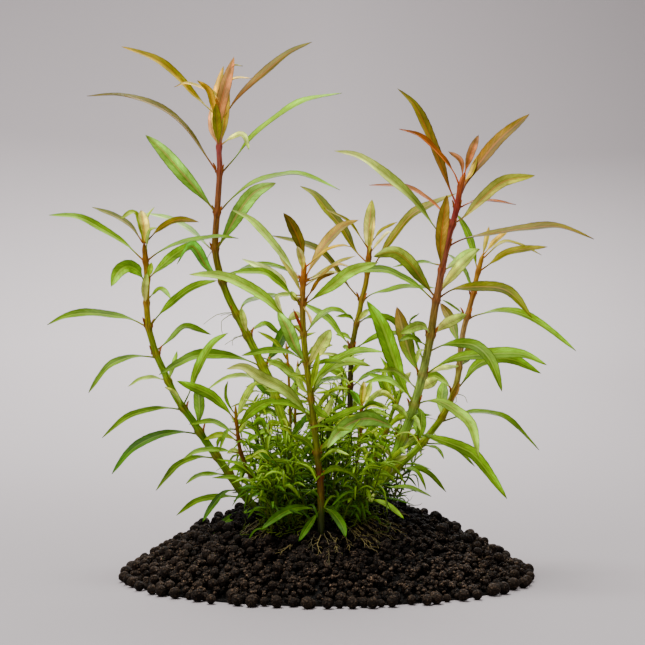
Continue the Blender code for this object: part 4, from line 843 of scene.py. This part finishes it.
def leaf_surface(mesh, line, seen, tone, rng, around=14, step=1.0, stalk_tint=None, slim=1.0):
    """A leaf: a closed section carried along its middle line. The half width is a narrow stalk,
    then a blade that widens and narrows as powers of a quarter of a sine wave, with small saw
    teeth. Each section is a shallow gutter with a keel under the midrib, and its edges rise and
    fall in a slow wave."""
    length = line_length(smooth_line(line, 24))
    stations = int(np.clip(length / step, 9, 56))
    line = smooth_line(line, stations)
    width = max(abs(seen), (LEAF_WIDTH_AT_ZERO + LEAF_WIDTH_PER_LENGTH * length) * slim)
    level = np.cross(UPWARD, line[-1] - line[0])
    s = np.linspace(0, 1, stations)
    ahead = tangents(line)
    flat = unit(level - ahead * (ahead @ level)[:, None])
    upper = np.cross(ahead, flat)
    turn = (leaf_roll(ahead, flat, upper, width, seen) * np.minimum(1.0, s / ROLL_IN))[:, None]
    turn = turn + (rng.uniform(-0.06, 0.06) * s)[:, None]
    flat, upper = (flat * np.cos(turn) + upper * np.sin(turn),
                   upper * np.cos(turn) - flat * np.sin(turn))
    blade = np.clip((s - STALK_SHARE) / (1 - STALK_SHARE), 0, 1)
    widening, narrowing = (np.sin(np.pi / 2 * np.minimum(1, way / share)) ** power
                           for way, (share, power) in ((blade, WIDENING), (1 - blade, NARROWING)))
    outline = np.maximum(STALK_WIDTH * (1 - s), widening * narrowing)
    saw = np.modf(s * length / TOOTH_LENGTH + rng.uniform())[0] - 0.5
    half = width / 2 * outline * (1 + TOOTH_DEPTH * saw * (blade > 0.1))
    half = np.maximum(half, 0.05)[:, None]
    angle = full_turn(around)[None, :]
    a, side = np.cos(angle), np.sin(angle)
    wave = rng.uniform(*WAVE) * np.sin(2 * np.pi * (WAVES * s + rng.uniform()))[:, None]
    stalk = np.clip(1 - blade * 4, 0, 1)[:, None]
    thin = BLADE_THICKNESS + STALK_THICKENING * stalk
    keel = (np.exp(-(a / KEEL_WIDTH) ** 2) * (side < 0)
            * (KEEL_DEPTH[0] * (1 - s[:, None]) + KEEL_DEPTH[1]))
    rise = (half * (GUTTER * np.abs(a) ** 1.4 * (1 - stalk) + wave * a * np.abs(a))
            + thin * side * np.sqrt(1.02 - a ** 2) - keel)
    rings = (line[:, None] + flat[:, None] * (half * a)[..., None]
             + upper[:, None] * rise[..., None])
    base, tip, midrib = np.array(TONES[tone])
    change = (s ** 1.1)[:, None, None]
    cloud = 1 + CLOUD * (np.sin(rng.uniform(0, 6) + 9 * s) + np.sin(rng.uniform(0, 6) + 23 * s))
    shade = rng.uniform(*SHADE) * cloud[:, None, None]
    tint = (base * (1 - change) + tip * change) * shade
    if stalk_tint is not None:
        reach = np.clip(1 - s / STALK_REACH, 0, 1)[:, None, None]
        tint = tint * (1 - reach) + stalk_tint * reach
    fade = (np.clip(s * 1.2 - 0.1, 0, 1))[:, None, None] * 0.3
    ribs = midrib * (1 - fade) + tint * fade
    mesh.add_rings(rings[:, ::-1], s[:, None], (0.5 + 0.5 * a)[:, ::-1], tint, ribs)


def listed_leaf(mesh, stem, row, rng):
    """A leaf of the tables. The width that it shows keeps the sign of its side."""
    tone, seen, reach, *line = row
    line = pairs(line)
    leaf_surface(mesh, leaf_line(stem, line, reach),
                 math.copysign(SEEN_SHARE * abs(seen) + SEEN_EXTRA, seen), tone, rng,
                 stalk_tint=stem.colour_at(line[0, 1]) * STALK_WARMTH)


def thread_surface(mesh, line, radius, tint, rng, around=6, widening=False):
    """A thin thread: small rings along a line that wanders a little, tapering to its end."""
    stations = max(8, int(line_length(line) / 0.8))
    line = smooth_line(line, stations)
    line = line + rng.normal(0, 0.12, line.shape) * np.linspace(0, 1, stations)[:, None]
    thick = np.linspace(1, 0.45, stations)
    thick = (radius * (thick[::-1] if widening else thick))[:, None, None]
    mesh.add_tube(line, thick, full_turn(around)[None, :, None], (0.3, 0.2, 1.0),
                  np.linspace(0, 1, stations)[:, None], 0.5, tint)


def ball(around, levels):
    """A unit ball: rings from pole to pole, each of radius sin of its angle at height cos."""
    fall = np.linspace(0.12, np.pi - 0.12, levels)[:, None]
    turn = full_turn(around)[None, :]
    return np.dstack([polar(np.sin(fall), turn), np.repeat(np.cos(fall), around, axis=1)])


def turned(rng):
    """A random turn in space, from a random unit quaternion."""
    w, x, y, z = unit(rng.normal(size=4))
    return np.array([[1 - 2 * (y * y + z * z), 2 * (x * y - w * z), 2 * (x * z + w * y)],
                     [2 * (x * y + w * z), 1 - 2 * (x * x + z * z), 2 * (y * z - w * x)],
                     [2 * (x * z - w * y), 2 * (y * z + w * x), 1 - 2 * (x * x + y * y)]])


class Finish:
    """A material, with short words for the nodes that mix its values and colours."""

    def __init__(self, name, roughness):
        self.material = bpy.data.materials.new(name)
        self.material.use_nodes = True
        self.nodes, self.links = self.material.node_tree.nodes, self.material.node_tree.links
        self.shader = self.nodes["Principled BSDF"]
        self.give(self.shader, {"Roughness": roughness})

    def give(self, node, inputs):
        """Each input gets its value, or a link from the socket that is given."""
        for key, value in inputs.items():
            if isinstance(value, bpy.types.NodeSocket):
                self.links.new(value, node.inputs[key])
            else:
                node.inputs[key].default_value = value

    def node(self, kind, output, inputs, **settings):
        """One output of a new node with these settings and inputs."""
        made = self.nodes.new("ShaderNode" + kind)
        for label, value in settings.items():
            setattr(made, label, value)
        self.give(made, inputs)
        return made.outputs[output]

    def math(self, operation, *values, clamp=False):
        """One step of arithmetic, kept within 0 and 1 where it is clamped."""
        return self.node("Math", 0, dict(enumerate(values)), operation=operation, use_clamp=clamp)

    def plus(self, first, second, clamp=False):
        return self.math("ADD", first, second, clamp=clamp)

    def minus(self, first, second, clamp=False):
        return self.math("SUBTRACT", first, second, clamp=clamp)

    def times(self, first, second, clamp=False):
        return self.math("MULTIPLY", first, second, clamp=clamp)

    def below(self, start, value, gain):
        """A start less a value times a gain, from 0 to 1."""
        return self.minus(start, self.times(value, gain), True)

    def above(self, value, start, gain):
        """How far a value lies above a start, times a gain, from 0 to 1."""
        return self.times(self.minus(value, start, True), gain, True)

    def harder(self, value, gain):
        """A value's distance from the middle times a gain, from 0 to 1."""
        return self.plus(self.times(self.minus(value, 0.5), gain), 0.5, True)

    def mix(self, factor, first, second, blend="MIX"):
        """The first colour, going over into the second as the factor rises."""
        return self.node("Mix", 2, {0: factor, 6: first, 7: second}, data_type="RGBA",
                         blend_type=blend)

    def toned(self, colour, *share):
        """A colour with its red, green and blue multiplied by these shares."""
        return self.mix(1.0, colour, (*share, 1.0), "MULTIPLY")

    def colour(self, label):
        """A colour that the piece keeps at each of its points."""
        return self.node("Attribute", "Color", {}, attribute_name=label)

    def place(self):
        """The position in space, in metres."""
        return self.node("TexCoord", "Object", {})

    def surface_place(self):
        """The place along and across the piece's surface."""
        return self.node("UVMap", "UV", {}, uv_map="place")

    def split(self, vector):
        """The three parts of a vector."""
        return self.node("SeparateXYZ", 0, {0: vector}).node.outputs

    def noise(self, scale, detail, vector=None):
        """Cloudy noise from 0 to 1, in space unless it is given a place."""
        return self.node("TexNoise", "Fac", {"Scale": scale, "Detail": detail,
                                             "Vector": vector or self.place()})

    def finished(self, colour, shine, relief=None, depth=0.0, strength=1.0):
        """The material, once its colour, its shine and its relief are joined to the shader."""
        self.give(self.shader, {"Base Color": colour, "Specular IOR Level": shine})
        if relief is not None:
            bump = {"Distance": depth, "Strength": strength, "Height": relief}
            self.give(self.shader, {"Normal": self.node("Bump", "Normal", bump)})
        return self.material


def leaf_material(name, glow):
    """A thin living leaf: the piece's own tint, a coloured midrib, slanting side veins, blotches,
    darker edges, one half painted lighter and the other darker as if lit on a fold, a painted
    shadow along each side of the midrib, a satin skin, and light that comes through from behind."""
    skin = Finish(name, 0.5)
    along, across, _ = skin.split(skin.surface_place())
    aside = skin.math("ABSOLUTE", skin.minus(skin.times(across, 2.0), 1.0))
    rib = skin.below(1.0, aside, 6.5)
    slant = skin.minus(skin.times(along, 11.0), skin.times(aside, 1.4))
    vein = skin.below(1.0, skin.math("PINGPONG", slant, 0.5), 6.0)
    tint = skin.colour("tint")
    lighter = skin.mix(0.15, skin.toned(tint, 1.5, 1.35, 1.6), skin.colour("rib"))
    body = skin.mix(skin.times(vein, 0.6), tint, lighter)
    blotch = skin.above(skin.noise(640.0, 4.0), 0.44, 3.5)
    body = skin.mix(blotch, body, skin.toned(body, 0.76, 0.82, 0.6))
    # painted light and shade: one half of the blade lighter, the other darker, as a lit fold
    body = skin.mix(skin.harder(across, 5.0), skin.toned(body, 0.86, 0.87, 0.72),
                    skin.toned(body, 1.45, 1.4, 1.7))
    edge = skin.plus(skin.above(aside, 0.8, 5.0), skin.above(along, 0.93, 12.0), True)
    # painted shadow: a darker band along each side of the midrib
    beside = skin.below(0.6, skin.math("ABSOLUTE", skin.minus(aside, 0.24)), 6.0)
    body = skin.mix(skin.plus(edge, beside, True), body, skin.toned(body, 0.45, 0.43, 0.3))
    body = skin.mix(rib, body, skin.colour("rib"))
    relief = skin.plus(skin.times(vein, -0.6), skin.times(skin.noise(2600.0, 2.0), 0.5))
    material = skin.finished(body, 0.14, relief, 0.00012, 0.5)
    through = skin.node("BsdfTranslucent", 0, {"Color": skin.toned(body, 1.25, 1.2, 0.7)})
    blend = skin.node("MixShader", 0, {0: glow, 1: skin.shader.outputs[0], 2: through})
    skin.give(skin.nodes["Material Output"], {"Surface": blend})
    return material


def stem_material(name):
    """A living stem: the piece's own colours along it, fine light and dark lengthwise streaks that
    are partly its own and partly painted highlights and shade on its ridges, a satin skin.
    """
    skin = Finish(name, 0.45)
    stretched = skin.node("Mapping", 0, {"Scale": (14.0, 9.0, 1.0),
                                         "Vector": skin.surface_place()})
    streaks = skin.noise(1.6, 3.0, stretched)
    tint = skin.colour("tint")
    dark = skin.toned(tint, 0.4, 0.38, 0.32)
    # streaks: partly the stem's own colour, partly painted highlights and shade along its ridges
    body = skin.mix(skin.harder(streaks, 2.4), dark, skin.toned(tint, 1.75, 1.7, 1.4))
    body = skin.mix(skin.above(skin.noise(520.0, 3.0), 0.56, 3.0), body, dark)
    return skin.finished(body, 0.12, streaks, 0.0001, 0.6)


def soil_material(name, relief_depth, speck_share, shine):
    """Baked clay soil: near-black brown, knobbly and finely pitted, with lighter specks on what
    stands proud that are partly dust and partly painted highlight."""
    clay = Finish(name, 0.7)
    tint = clay.colour("tint")
    knob = clay.node("TexVoronoi", "Distance", {"Scale": 1050.0, "Vector": clay.place()})
    knob = clay.below(1.0, knob, 1.5)
    dust_and_glint = clay.noise(2600.0, 4.0)
    # lighter specks on the knobs: partly dust, partly painted highlight
    speck = clay.times(clay.above(dust_and_glint, 0.45, 7.0), clay.times(knob, speck_share))
    body = clay.mix(speck, tint, clay.toned(tint, 15.0, 13.6, 11.8))
    return clay.finished(body, shine, clay.plus(knob, clay.times(dust_and_glint, 0.8)), relief_depth)


def root_material(name):
    """A thin root: pale and a little darker in patches."""
    skin = Finish(name, 0.6)
    tint = skin.colour("tint")
    patch = skin.noise(700.0, 3.0)
    return skin.finished(skin.mix(patch, tint, skin.toned(tint, 0.45, 0.4, 0.3)), 0.5)


def floor_material(name):
    """A pale backdrop: one grey with painted shade, a little deeper near the middle, and painted
    falloff of the light high up and at the sides."""
    grey = Finish(name, 0.8)
    x, y, z = grey.split(grey.place())
    distance = grey.math("SQRT", grey.plus(grey.math("POWER", x, 2.0), grey.math("POWER", y, 2.0)))
    # painted shade near the middle of the floor, going over into a painted pool of light further
    # out
    low_tone = grey.mix(grey.above(distance, 0.05, 1.1), (0.322, 0.292, 0.297, 1.0),
                        (0.607, 0.551, 0.56, 1.0))
    # painted falloff of the light: darker high up the wall
    tone = grey.mix(grey.plus(z, 0.05, True), low_tone, (0.47, 0.425, 0.434, 1.0))
    # painted falloff of the light: darker towards the sides
    aside = grey.math("DIVIDE", x, grey.plus(grey.math("ABSOLUTE", y), 0.6))
    aside = grey.times(aside, grey.times(distance, 1.2, True))
    for gain, share in ((5.0, 0.6), (-5.0, 0.84)):
        tone = grey.mix(grey.times(aside, gain, True), tone, grey.toned(tone, *[share] * 3))
    return grey.finished(tone, 0.1)


def build_stage():
    """A flat pale floor that sweeps up into a wall on all sides: a profile of (distance, height)
    turned once round the heap's axis."""
    flat = np.stack([np.linspace(0, FLOOR_FLAT, 6), np.zeros(6)], axis=-1)
    bend = np.linspace(0, np.pi / 2, 40)[1:]
    curve = np.stack([FLOOR_FLAT + FLOOR_BEND * np.sin(bend),
                      FLOOR_BEND - FLOOR_BEND * np.cos(bend)], axis=-1)
    points = revolved(np.vstack([flat, curve, [[FLOOR_FLAT + FLOOR_BEND, WALL_TOP]]]), 96)
    index = np.arange(points.size // 3).reshape(points.shape[:2])
    following = np.roll(index, -1, axis=1)
    quads = np.stack([index[:-1], index[1:], following[1:], following[:-1]], axis=-1)
    mesh = bpy.data.meshes.new("floor")
    mesh.from_pydata(points.reshape(-1, 3).tolist(), [], quads.reshape(-1, 4).tolist())
    mesh.shade_smooth()
    mesh.materials.append(floor_material("pale floor"))
    floor = linked("floor", mesh)


def build_light(name, place, size, energy):
    """A round lamp that is turned to the plant's middle."""
    lamp = bpy.data.lights.new(name, "AREA")
    lamp.shape, lamp.size, lamp.energy = "DISK", size, energy
    made = linked(name, lamp)
    made.location = place
    away = LAMPS_AIM - np.array(place)
    made.rotation_euler = (
        math.acos(-away[2] / np.linalg.norm(away)), 0, math.atan2(away[1], away[0]) - math.pi / 2)


def build_camera_and_lights():
    """A level camera in front of the plant, three soft lamps and a pale sky."""
    camera = bpy.data.cameras.new("front view")
    camera.sensor_width = SENSOR
    camera.lens = SENSOR * EYE_DISTANCE / FRAME_ACROSS
    camera.clip_start = 0.01
    made = linked("front view", camera)
    made.location = (EYE_RIGHT * MM, -EYE_DISTANCE * MM, EYE_UP * MM)
    made.rotation_euler = (math.pi / 2, 0, 0)
    bpy.context.scene.camera = made
    for name, row in LAMPS.items():
        build_light(name, *row)
    world = bpy.data.worlds.new("studio")
    world.use_nodes = True
    sky = world.node_tree.nodes["Background"].inputs
    sky["Color"].default_value = SKY
    sky["Strength"].default_value = SKY_STRENGTH
    bpy.context.scene.world = world


def rim_granules(rng):
    """Round granules in a row along the rim, with smaller ones between and behind them. The row
    comes forward a little in front."""
    step = 2 * math.pi / RIM_GRANULES
    turn = np.append(*((np.arange(RIM_GRANULES) + shift + rng.uniform(-0.3, 0.3, RIM_GRANULES))
                       * step for shift in (0, 0.5)))
    size = np.append(rng.uniform(*RIM_SIZE, RIM_GRANULES),
                     rng.uniform(*BETWEEN_SIZE, RIM_GRANULES))
    reach = HEAP_RADIUS - size + np.append(rng.uniform(-0.4, 0.8, RIM_GRANULES),
                                           rng.uniform(-3.4, -1.6, RIM_GRANULES))
    reach += 2.4 * np.clip(-np.sin(turn), 0, 1) ** 2
    centres = np.column_stack([polar(reach, turn), size * 0.98])
    return centres, size, np.full(2 * RIM_GRANULES, 0.72)


def large_granules(rng):
    """Granules in a sunflower pattern up the slope, shaken, and pushed apart where they overlap.
    Those that stand proud are lighter and sunk ones darker, as painted shade in the hollows."""
    order = np.arange(LARGE_GRANULES)
    distance = (HEAP_RADIUS - 4.5) * np.sqrt((order + 0.5) / LARGE_GRANULES)
    place = polar(distance, order * GOLDEN_TURN)
    place += rng.normal(0, 1.1, place.shape)
    size = rng.uniform(*LARGE_SIZE, LARGE_GRANULES)
    place = pushed_apart(place, size, HEAP_RADIUS - 3.2)
    proud = rng.uniform(-1.6, 0.4, LARGE_GRANULES)
    height = np.maximum(heap_top(*place.T) - size * 0.85 + proud, size * 0.96)
    # painted shade: the deeper a granule sinks into the slope, the darker it is
    return np.column_stack([place, height]), size, 0.75 + 0.3 * proud


def proud_granules(rng):
    """Round granules that lie on top, all round except in front and a little right of it."""
    order = np.arange(PROUD_GRANULES) + 0.5
    distance = 22 + (HEAP_RADIUS - 25) * np.sqrt(order / PROUD_GRANULES)
    swing = 0.78 * math.pi * np.modf(order * GOLDEN_TURN / math.pi)[0]
    turn = 0.14 * math.pi - swing * np.where(order % 2 < 1, 1, -1) + math.pi / 2
    place = polar(distance, turn)
    place += rng.normal(0, 1.5, place.shape)
    size = rng.uniform(*PROUD_SIZE, PROUD_GRANULES)
    height = np.maximum(heap_top(*place.T), 0.5) + size * 0.3
    return np.column_stack([place, height]), size, np.full(PROUD_GRANULES, 0.8)


def crumbs(rng):
    """Small crumbs all over, sunk into the hollows."""
    distance = CORE_RADIUS * np.sqrt(rng.uniform(0, 1, CRUMBS))
    place = polar(distance, rng.uniform(0, 2 * math.pi, CRUMBS))
    size = rng.uniform(*CRUMB_SIZE, CRUMBS)
    height = heap_top(*place.T) - size * 0.8 - rng.uniform(-0.5, 1.2, CRUMBS)
    height = np.maximum(height, size * 0.96)
    return np.column_stack([place, height]), size, rng.uniform(0.6, 1.3, CRUMBS)


def clusters(rng):
    """Little heaps of fine grains, each grain within a half ball round the heap's middle."""
    order = np.arange(CLUSTERS) + 0.5
    distance = 20 + (HEAP_RADIUS - 25.5) * np.sqrt(order / CLUSTERS)
    middle = polar(distance, order * GOLDEN_TURN)
    middle += rng.normal(0, 1.0, middle.shape)
    reach = rng.uniform(1.2, 3.0, (CLUSTERS, 1, 1)) * [1, 1, 0] + [0, 0, 1.5]
    spread = unit(rng.normal(size=(CLUSTERS, CLUSTER_GRAINS, 3)))
    spread[..., 2] = np.abs(spread[..., 2])
    grains = (spread * reach * rng.uniform(0.75, 1, spread.shape[:2] + (1,))).reshape(-1, 3)
    grains[:, :2] += np.repeat(middle, CLUSTER_GRAINS, 0)
    grains[:, 2] += heap_top(grains[:, 0], grains[:, 1]) - 0.9
    return grains, rng.uniform(*GRAIN_SIZE, len(grains)), np.full(len(grains), 1.15)


def build_heap(rough, smooth):
    """The heap: granules of five kinds, and a smooth near-black core just under the surface,
    painted as the shade in the gaps between them. The kinds are drawn in this order, with how lumpy
    each granule is and how many faces it has."""
    rng = np.random.default_rng(HEAP_SEED)
    for made, material, lumps, faces in (
            (rim_granules, smooth, 0.02, (12, 8)), (large_granules, rough, 0.11, (10, 7)),
            (proud_granules, smooth, 0.03, (12, 8)), (crumbs, rough, 0.1, (7, 5)),
            (clusters, rough, 0.1, (7, 5))):
        granule_piece("soil_" + made.__name__, *made(rng), rng, material, lumps, faces)
    reach = np.linspace(0.01, 1, 30) * CORE_RADIUS
    outline = np.column_stack([reach, np.maximum(0.4, heap_top(reach, 0) - 3.2)])
    outline = np.vstack([outline, [CORE_RADIUS, 0.0], [0.5, 0.0]])
    core = Mesh()
    core.add_rings(revolved(outline, 72)[:, ::-1], 0.0, 0.0, CORE_HOLLOW_SHADE, (0, 0, 0))
    core.piece("soil_core", rough, "soil", "soil_heap")


def pushed_apart(place, size, limit, rounds=14):
    """Circles moved apart until few overlap: each pair closer than its radii moves apart by half
    of what it lacks, and none leaves the limit."""
    for _ in range(rounds):
        gap = place[:, None] - place[None]
        apart = np.sqrt((gap ** 2).sum(-1)) + 1e-9
        lack = np.clip((size[:, None] + size[None]) * 0.95 - apart, 0, None)
        np.fill_diagonal(lack, 0)
        place = place + (gap / apart[..., None] * lack[..., None] * 0.5).sum(1)
        place = place * np.minimum(1, (limit - size) / np.hypot(*place.T))[:, None]
    return place


def granule_piece(name, centres, size, shade, rng, material, lumps, faces):
    """Granules: each a unit ball, stretched a little, made lumpy by a few slow waves, turned at
    random and moved to its place. They are darker near the foot of the plant, as painted shade
    of its foliage, and each is lighter on top and darker below, as painted light from above."""
    shape = ball(*faces)
    flat = shape.reshape(-1, 3)
    mesh = Mesh()
    for centre, radius, light in zip(centres, size, shade):
        waves = rng.normal(0, 1, (3, 3)) * 2.4
        rough = 1 + lumps * np.sin(flat @ waves + rng.uniform(0, 6, 3)).sum(1)
        stretch = rng.uniform(0.92, 1.08, 3)
        points = (flat * rough[:, None] * stretch * radius) @ turned(rng).T + centre
        points[:, 2] = np.maximum(points[:, 2], LOWEST)
        # painted shade: granules are darker near the plant's foot, where its foliage shades them
        foliage_shade = np.clip((np.hypot(centre[0], centre[1] + 4) - FOLIAGE_SHADE_TO) / FOLIAGE_SHADE_FADE, 0.15, 1)
        # painted light and shade: each granule lighter on top and darker underneath, as lit from
        # above
        lit_top = 0.5 + 0.85 * np.clip((points[:, 2:] - centre[2]) / radius, 0, 1)
        brown = SOIL * rng.uniform(0.6, 1.5) * foliage_shade * light * lit_top
        mesh.add_rings(points.reshape(shape.shape), 0.0, 0.0, brown.reshape(shape.shape), brown[0])
    mesh.piece(name, material, "soil", "soil_heap")


def build_plant(leaf_finish, stem_finish):
    """The stems and shoots, with the small leaves of each in one piece and each large leaf in a
    piece of its own."""
    stems = {name: Stem(**row) for name, row in (STEMS | SHOOTS).items()}
    for number, (name, stem) in enumerate(stems.items()):
        rng = np.random.default_rng(PLANT_SEED + number)
        node, trunk_name, slot = (f"stem_{name}", f"stalk_{name}", "stem") if name in STEMS else (
            f"shoot_{name}", f"twig_{name}", "young_shoot")
        trunk = Mesh()
        stem_surface(trunk, stem)
        trunk.piece(trunk_name, stem_finish, slot, node)
        leaflets = Mesh()
        for row in SMALL_LEAVES.get(name, []) + FINE_LEAVES.get(name, []):
            listed_leaf(leaflets, stem, row, rng)
        if name in SIDE_LEAVES:
            side_leaves(leaflets, stem, *SIDE_LEAVES[name], rng)
        leaflets.piece(f"small_leaves_{name}", leaf_finish, "leaf", node)
        for count, row in enumerate(LEAVES.get(name, []), 1):
            leaf = Mesh()
            listed_leaf(leaf, stem, row, rng)
            leaf.piece(f"blade_{name}_{count}", leaf_finish, "leaf", f"leaf_{name}_{count}")
    return stems


def side_leaves(mesh, stem, low, high, count, rng):
    """Small narrow leaves all round a stem between two heights, each in its own direction."""
    for up in np.linspace(low, high, count) + rng.uniform(-1, 1, count):
        turn, rise = rng.uniform(0, 2 * math.pi), rng.uniform(0.0, 1.0)
        length, bend = rng.uniform(8, 17), rng.uniform(0.2, 0.9)
        tone = SIDE_TONES[rng.integers(len(SIDE_TONES))]
        leaf_surface(mesh, bent_line(stem.at(up), turn, rise, bend, length),
                     rng.uniform(0.9, 2.0), tone, rng, 8, 1.4, stem.colour_at(up), 0.8)


def build_bush(leaf_finish, stem_finish):
    """Short leaning shoots with crossed pairs of small leaves, and thinner ones round each."""
    for number, (name, row) in enumerate(BUSH.items()):
        rng = np.random.default_rng(BUSH_SEED + number)
        root = np.array([row["foot"][0], -row["foot"][1], 0.0])
        root[2] = heap_top(root[0], root[1]) - PLANT_DEPTH
        top = root + np.array([row["lean"][0], -row["lean"][1], row["height"] + PLANT_DEPTH])
        twigs, leaflets = Mesh(), Mesh()
        thread_surface(twigs, np.linspace(top, root, 4), BUSH_RADIUS, BUSH_GREEN, rng, 8)
        for pair in range(BUSH_PAIRS):
            start = top + (root - top) * (0.02 + 0.62 * pair / BUSH_PAIRS)
            for side in (0, 1):
                turn = math.radians(40 * number + 90 * pair + 180 * side + 20)
                bush_leaf(leaflets, start, turn, math.radians(BUSH_LEAF_RISE - 8 * pair),
                          BUSH_LEAF_LENGTH * (0.75 + 0.12 * pair), BUSH_LEAF_SEEN, rng, 0.8)
        for _ in range(THIN_SHOOTS):
            thin_shoot(twigs, leaflets, root, top, rng)
        for _ in range(STRANDS):
            strand(twigs, root, rng)
        twigs.piece(name.replace("bush", "bush_twigs"), stem_finish, "young_shoot", name)
        leaflets.piece(name.replace("bush", "bush_leaves"), leaf_finish, "leaf", name)


def level_step(rng, spread):
    """A random step over the ground."""
    return np.array([*rng.normal(0, spread, 2), 0])


def thin_shoot(twigs, leaflets, root, top, rng):
    """A thin shoot beside a stronger one: it leans its own way and carries pairs of narrow
    leaves that stand steeply."""
    foot = root + level_step(rng, 4.0)
    foot[2] = heap_top(foot[0], foot[1]) - 2
    head = top + level_step(rng, 5.0) + (top - root) * [0.1, 0.1, 0]
    head[2] = foot[2] + (top[2] - root[2]) * rng.uniform(0.5, 1.3)
    middle = (foot + head) / 2 + level_step(rng, 1.5)
    colour = THIN_GREEN if rng.uniform() < 0.9 else THIN_BROWN
    line = np.array([head, middle, foot])
    thread_surface(twigs, line, rng.uniform(0.25, 0.42), colour, rng, 7, True)
    run = smooth_line(line, 24)
    turn = rng.uniform(0, math.pi)
    for start in run[np.arange(0, 21, rng.integers(3, 6))]:
        turn += math.pi / 2 + rng.uniform(-0.3, 0.3)
        length = rng.uniform(4, 12.5)
        for side in (0, math.pi):
            bush_leaf(leaflets, start, turn + side, rng.uniform(-0.3, 1.2),
                      length * rng.uniform(0.7, 1.3), rng.uniform(0.4, 1.0), rng, 0.5)


def strand(mesh, root, rng):
    """A dark thread at the crown, bent over by a random walk."""
    start = root + level_step(rng, 4.5)
    steps = np.column_stack([rng.normal(0, 1.3, 6), rng.normal(0, 1.3, 6),
                             rng.uniform(-0.7, 1.9, 6)])
    line = start + np.cumsum(steps, axis=0)
    line[:, 2] += heap_top(start[0], start[1]) - root[2] - 1.2
    line[:, 2] = np.maximum(line[:, 2], heap_top(line[:, 0], line[:, 1]))
    shade = rng.uniform(0.5, 2.2)
    thread_surface(mesh, line, rng.uniform(0.1, 0.24), STRAND_DARK * shade, rng, 5)


def bush_leaf(mesh, start, turn, rise, length, seen, rng, slim):
    """A small leaf: it leaves the shoot at its rise and then bends over a little. Those low down
    get darker tones, as painted shade under the bush."""
    line = bent_line(start, turn, rise, rng.uniform(0.1, 1.3), length)
    # painted shade: the lower a leaf is above the soil, the darker its tone
    light = (line[1, 2] - heap_top(*line[1, :2])) / 38 + rng.uniform(-0.14, 0.2)
    tone = BUSH_TONES[int(np.clip(light * 5, 0, 4))]
    leaf_surface(mesh, line, seen, tone, rng, 6, 1.5, slim=slim)


def build_buds(stems, finish, rng):
    """Two small pointed buds at each listed joint, one on either side of the stem."""
    buds = Mesh()
    for name, heights in BUDS.items():
        for up in heights:
            for side in (-1, 1):
                skin = stems[name].at(up) + [side * stems[name].radius_at(up) * 0.7, -0.4, 0]
                out = np.array([side * rng.uniform(0.25, 0.6), -rng.uniform(0, 0.4), 1.3])
                line = skin + np.outer([0, 1.1, rng.uniform(1.6, 2.6)], out)
                leaf_surface(buds, line, 0.7, "bud", rng, 8, 0.4)
    buds.piece("red_buds", finish, "stem")


def build_roots(stems, finish, rng):
    """Roots that lie on the soil, each with thinner side roots, and threads on the stems."""
    roots = Mesh()
    for line in ROOTS:
        place = pairs(line) * [1, -1]
        fine = smooth_line(np.column_stack([place, np.zeros(len(place))]), 14)
        fine[:, 2] = heap_top(fine[:, 0], fine[:, 1]) + 0.2 + rng.uniform(-0.3, 0.3, 14)
        pale = ROOT_PALE * rng.uniform(0.4, 1.2)
        thread_surface(roots, fine, ROOT_RADIUS, pale, rng)
        for start in (2, 4, 6, 8, 10):
            run = fine[start + 2] - fine[start]
            bend = rng.choice([-0.9, 0.9]) * rng.uniform(0.4, 1.1)
            out = unit(np.array([run[0] - bend * run[1], run[1] + bend * run[0], 0]))
            side = fine[start] + np.outer([0, 0.8, rng.uniform(1.6, 3)], out)
            side[:, 2] = heap_top(side[:, 0], side[:, 1]) + 0.25
            thread_surface(roots, side, ROOT_RADIUS * 0.6, pale, rng, 5)
    for name, *line in THREADS:
        line = pairs(line)
        points = placed(*line.T, stems[name].near_at(line[0, 1]))
        points[0] = stems[name].at(line[0, 1])
        thread_surface(roots, points, THREAD_RADIUS, THREAD_GREEN, rng)
    roots.piece("roots_and_threads", finish, "young_shoot")


def main():
    """The stage, the heap and the plant, in this order."""
    build_stage()
    build_camera_and_lights()
    build_heap(soil_material("baked clay soil", 0.0012, 1.0, 0.1),
               soil_material("round clay granules", 0.0005, 0.55, 0.07))
    leaf_finish = leaf_material("leaf", 0.38)
    stem_finish = stem_material("stem")
    stems = build_plant(leaf_finish, stem_finish)
    build_bush(leaf_finish, stem_finish)
    rng = np.random.default_rng(DETAILS_SEED)
    build_buds(stems, stem_finish, rng)
    build_roots(stems, root_material("root"), rng)


main()
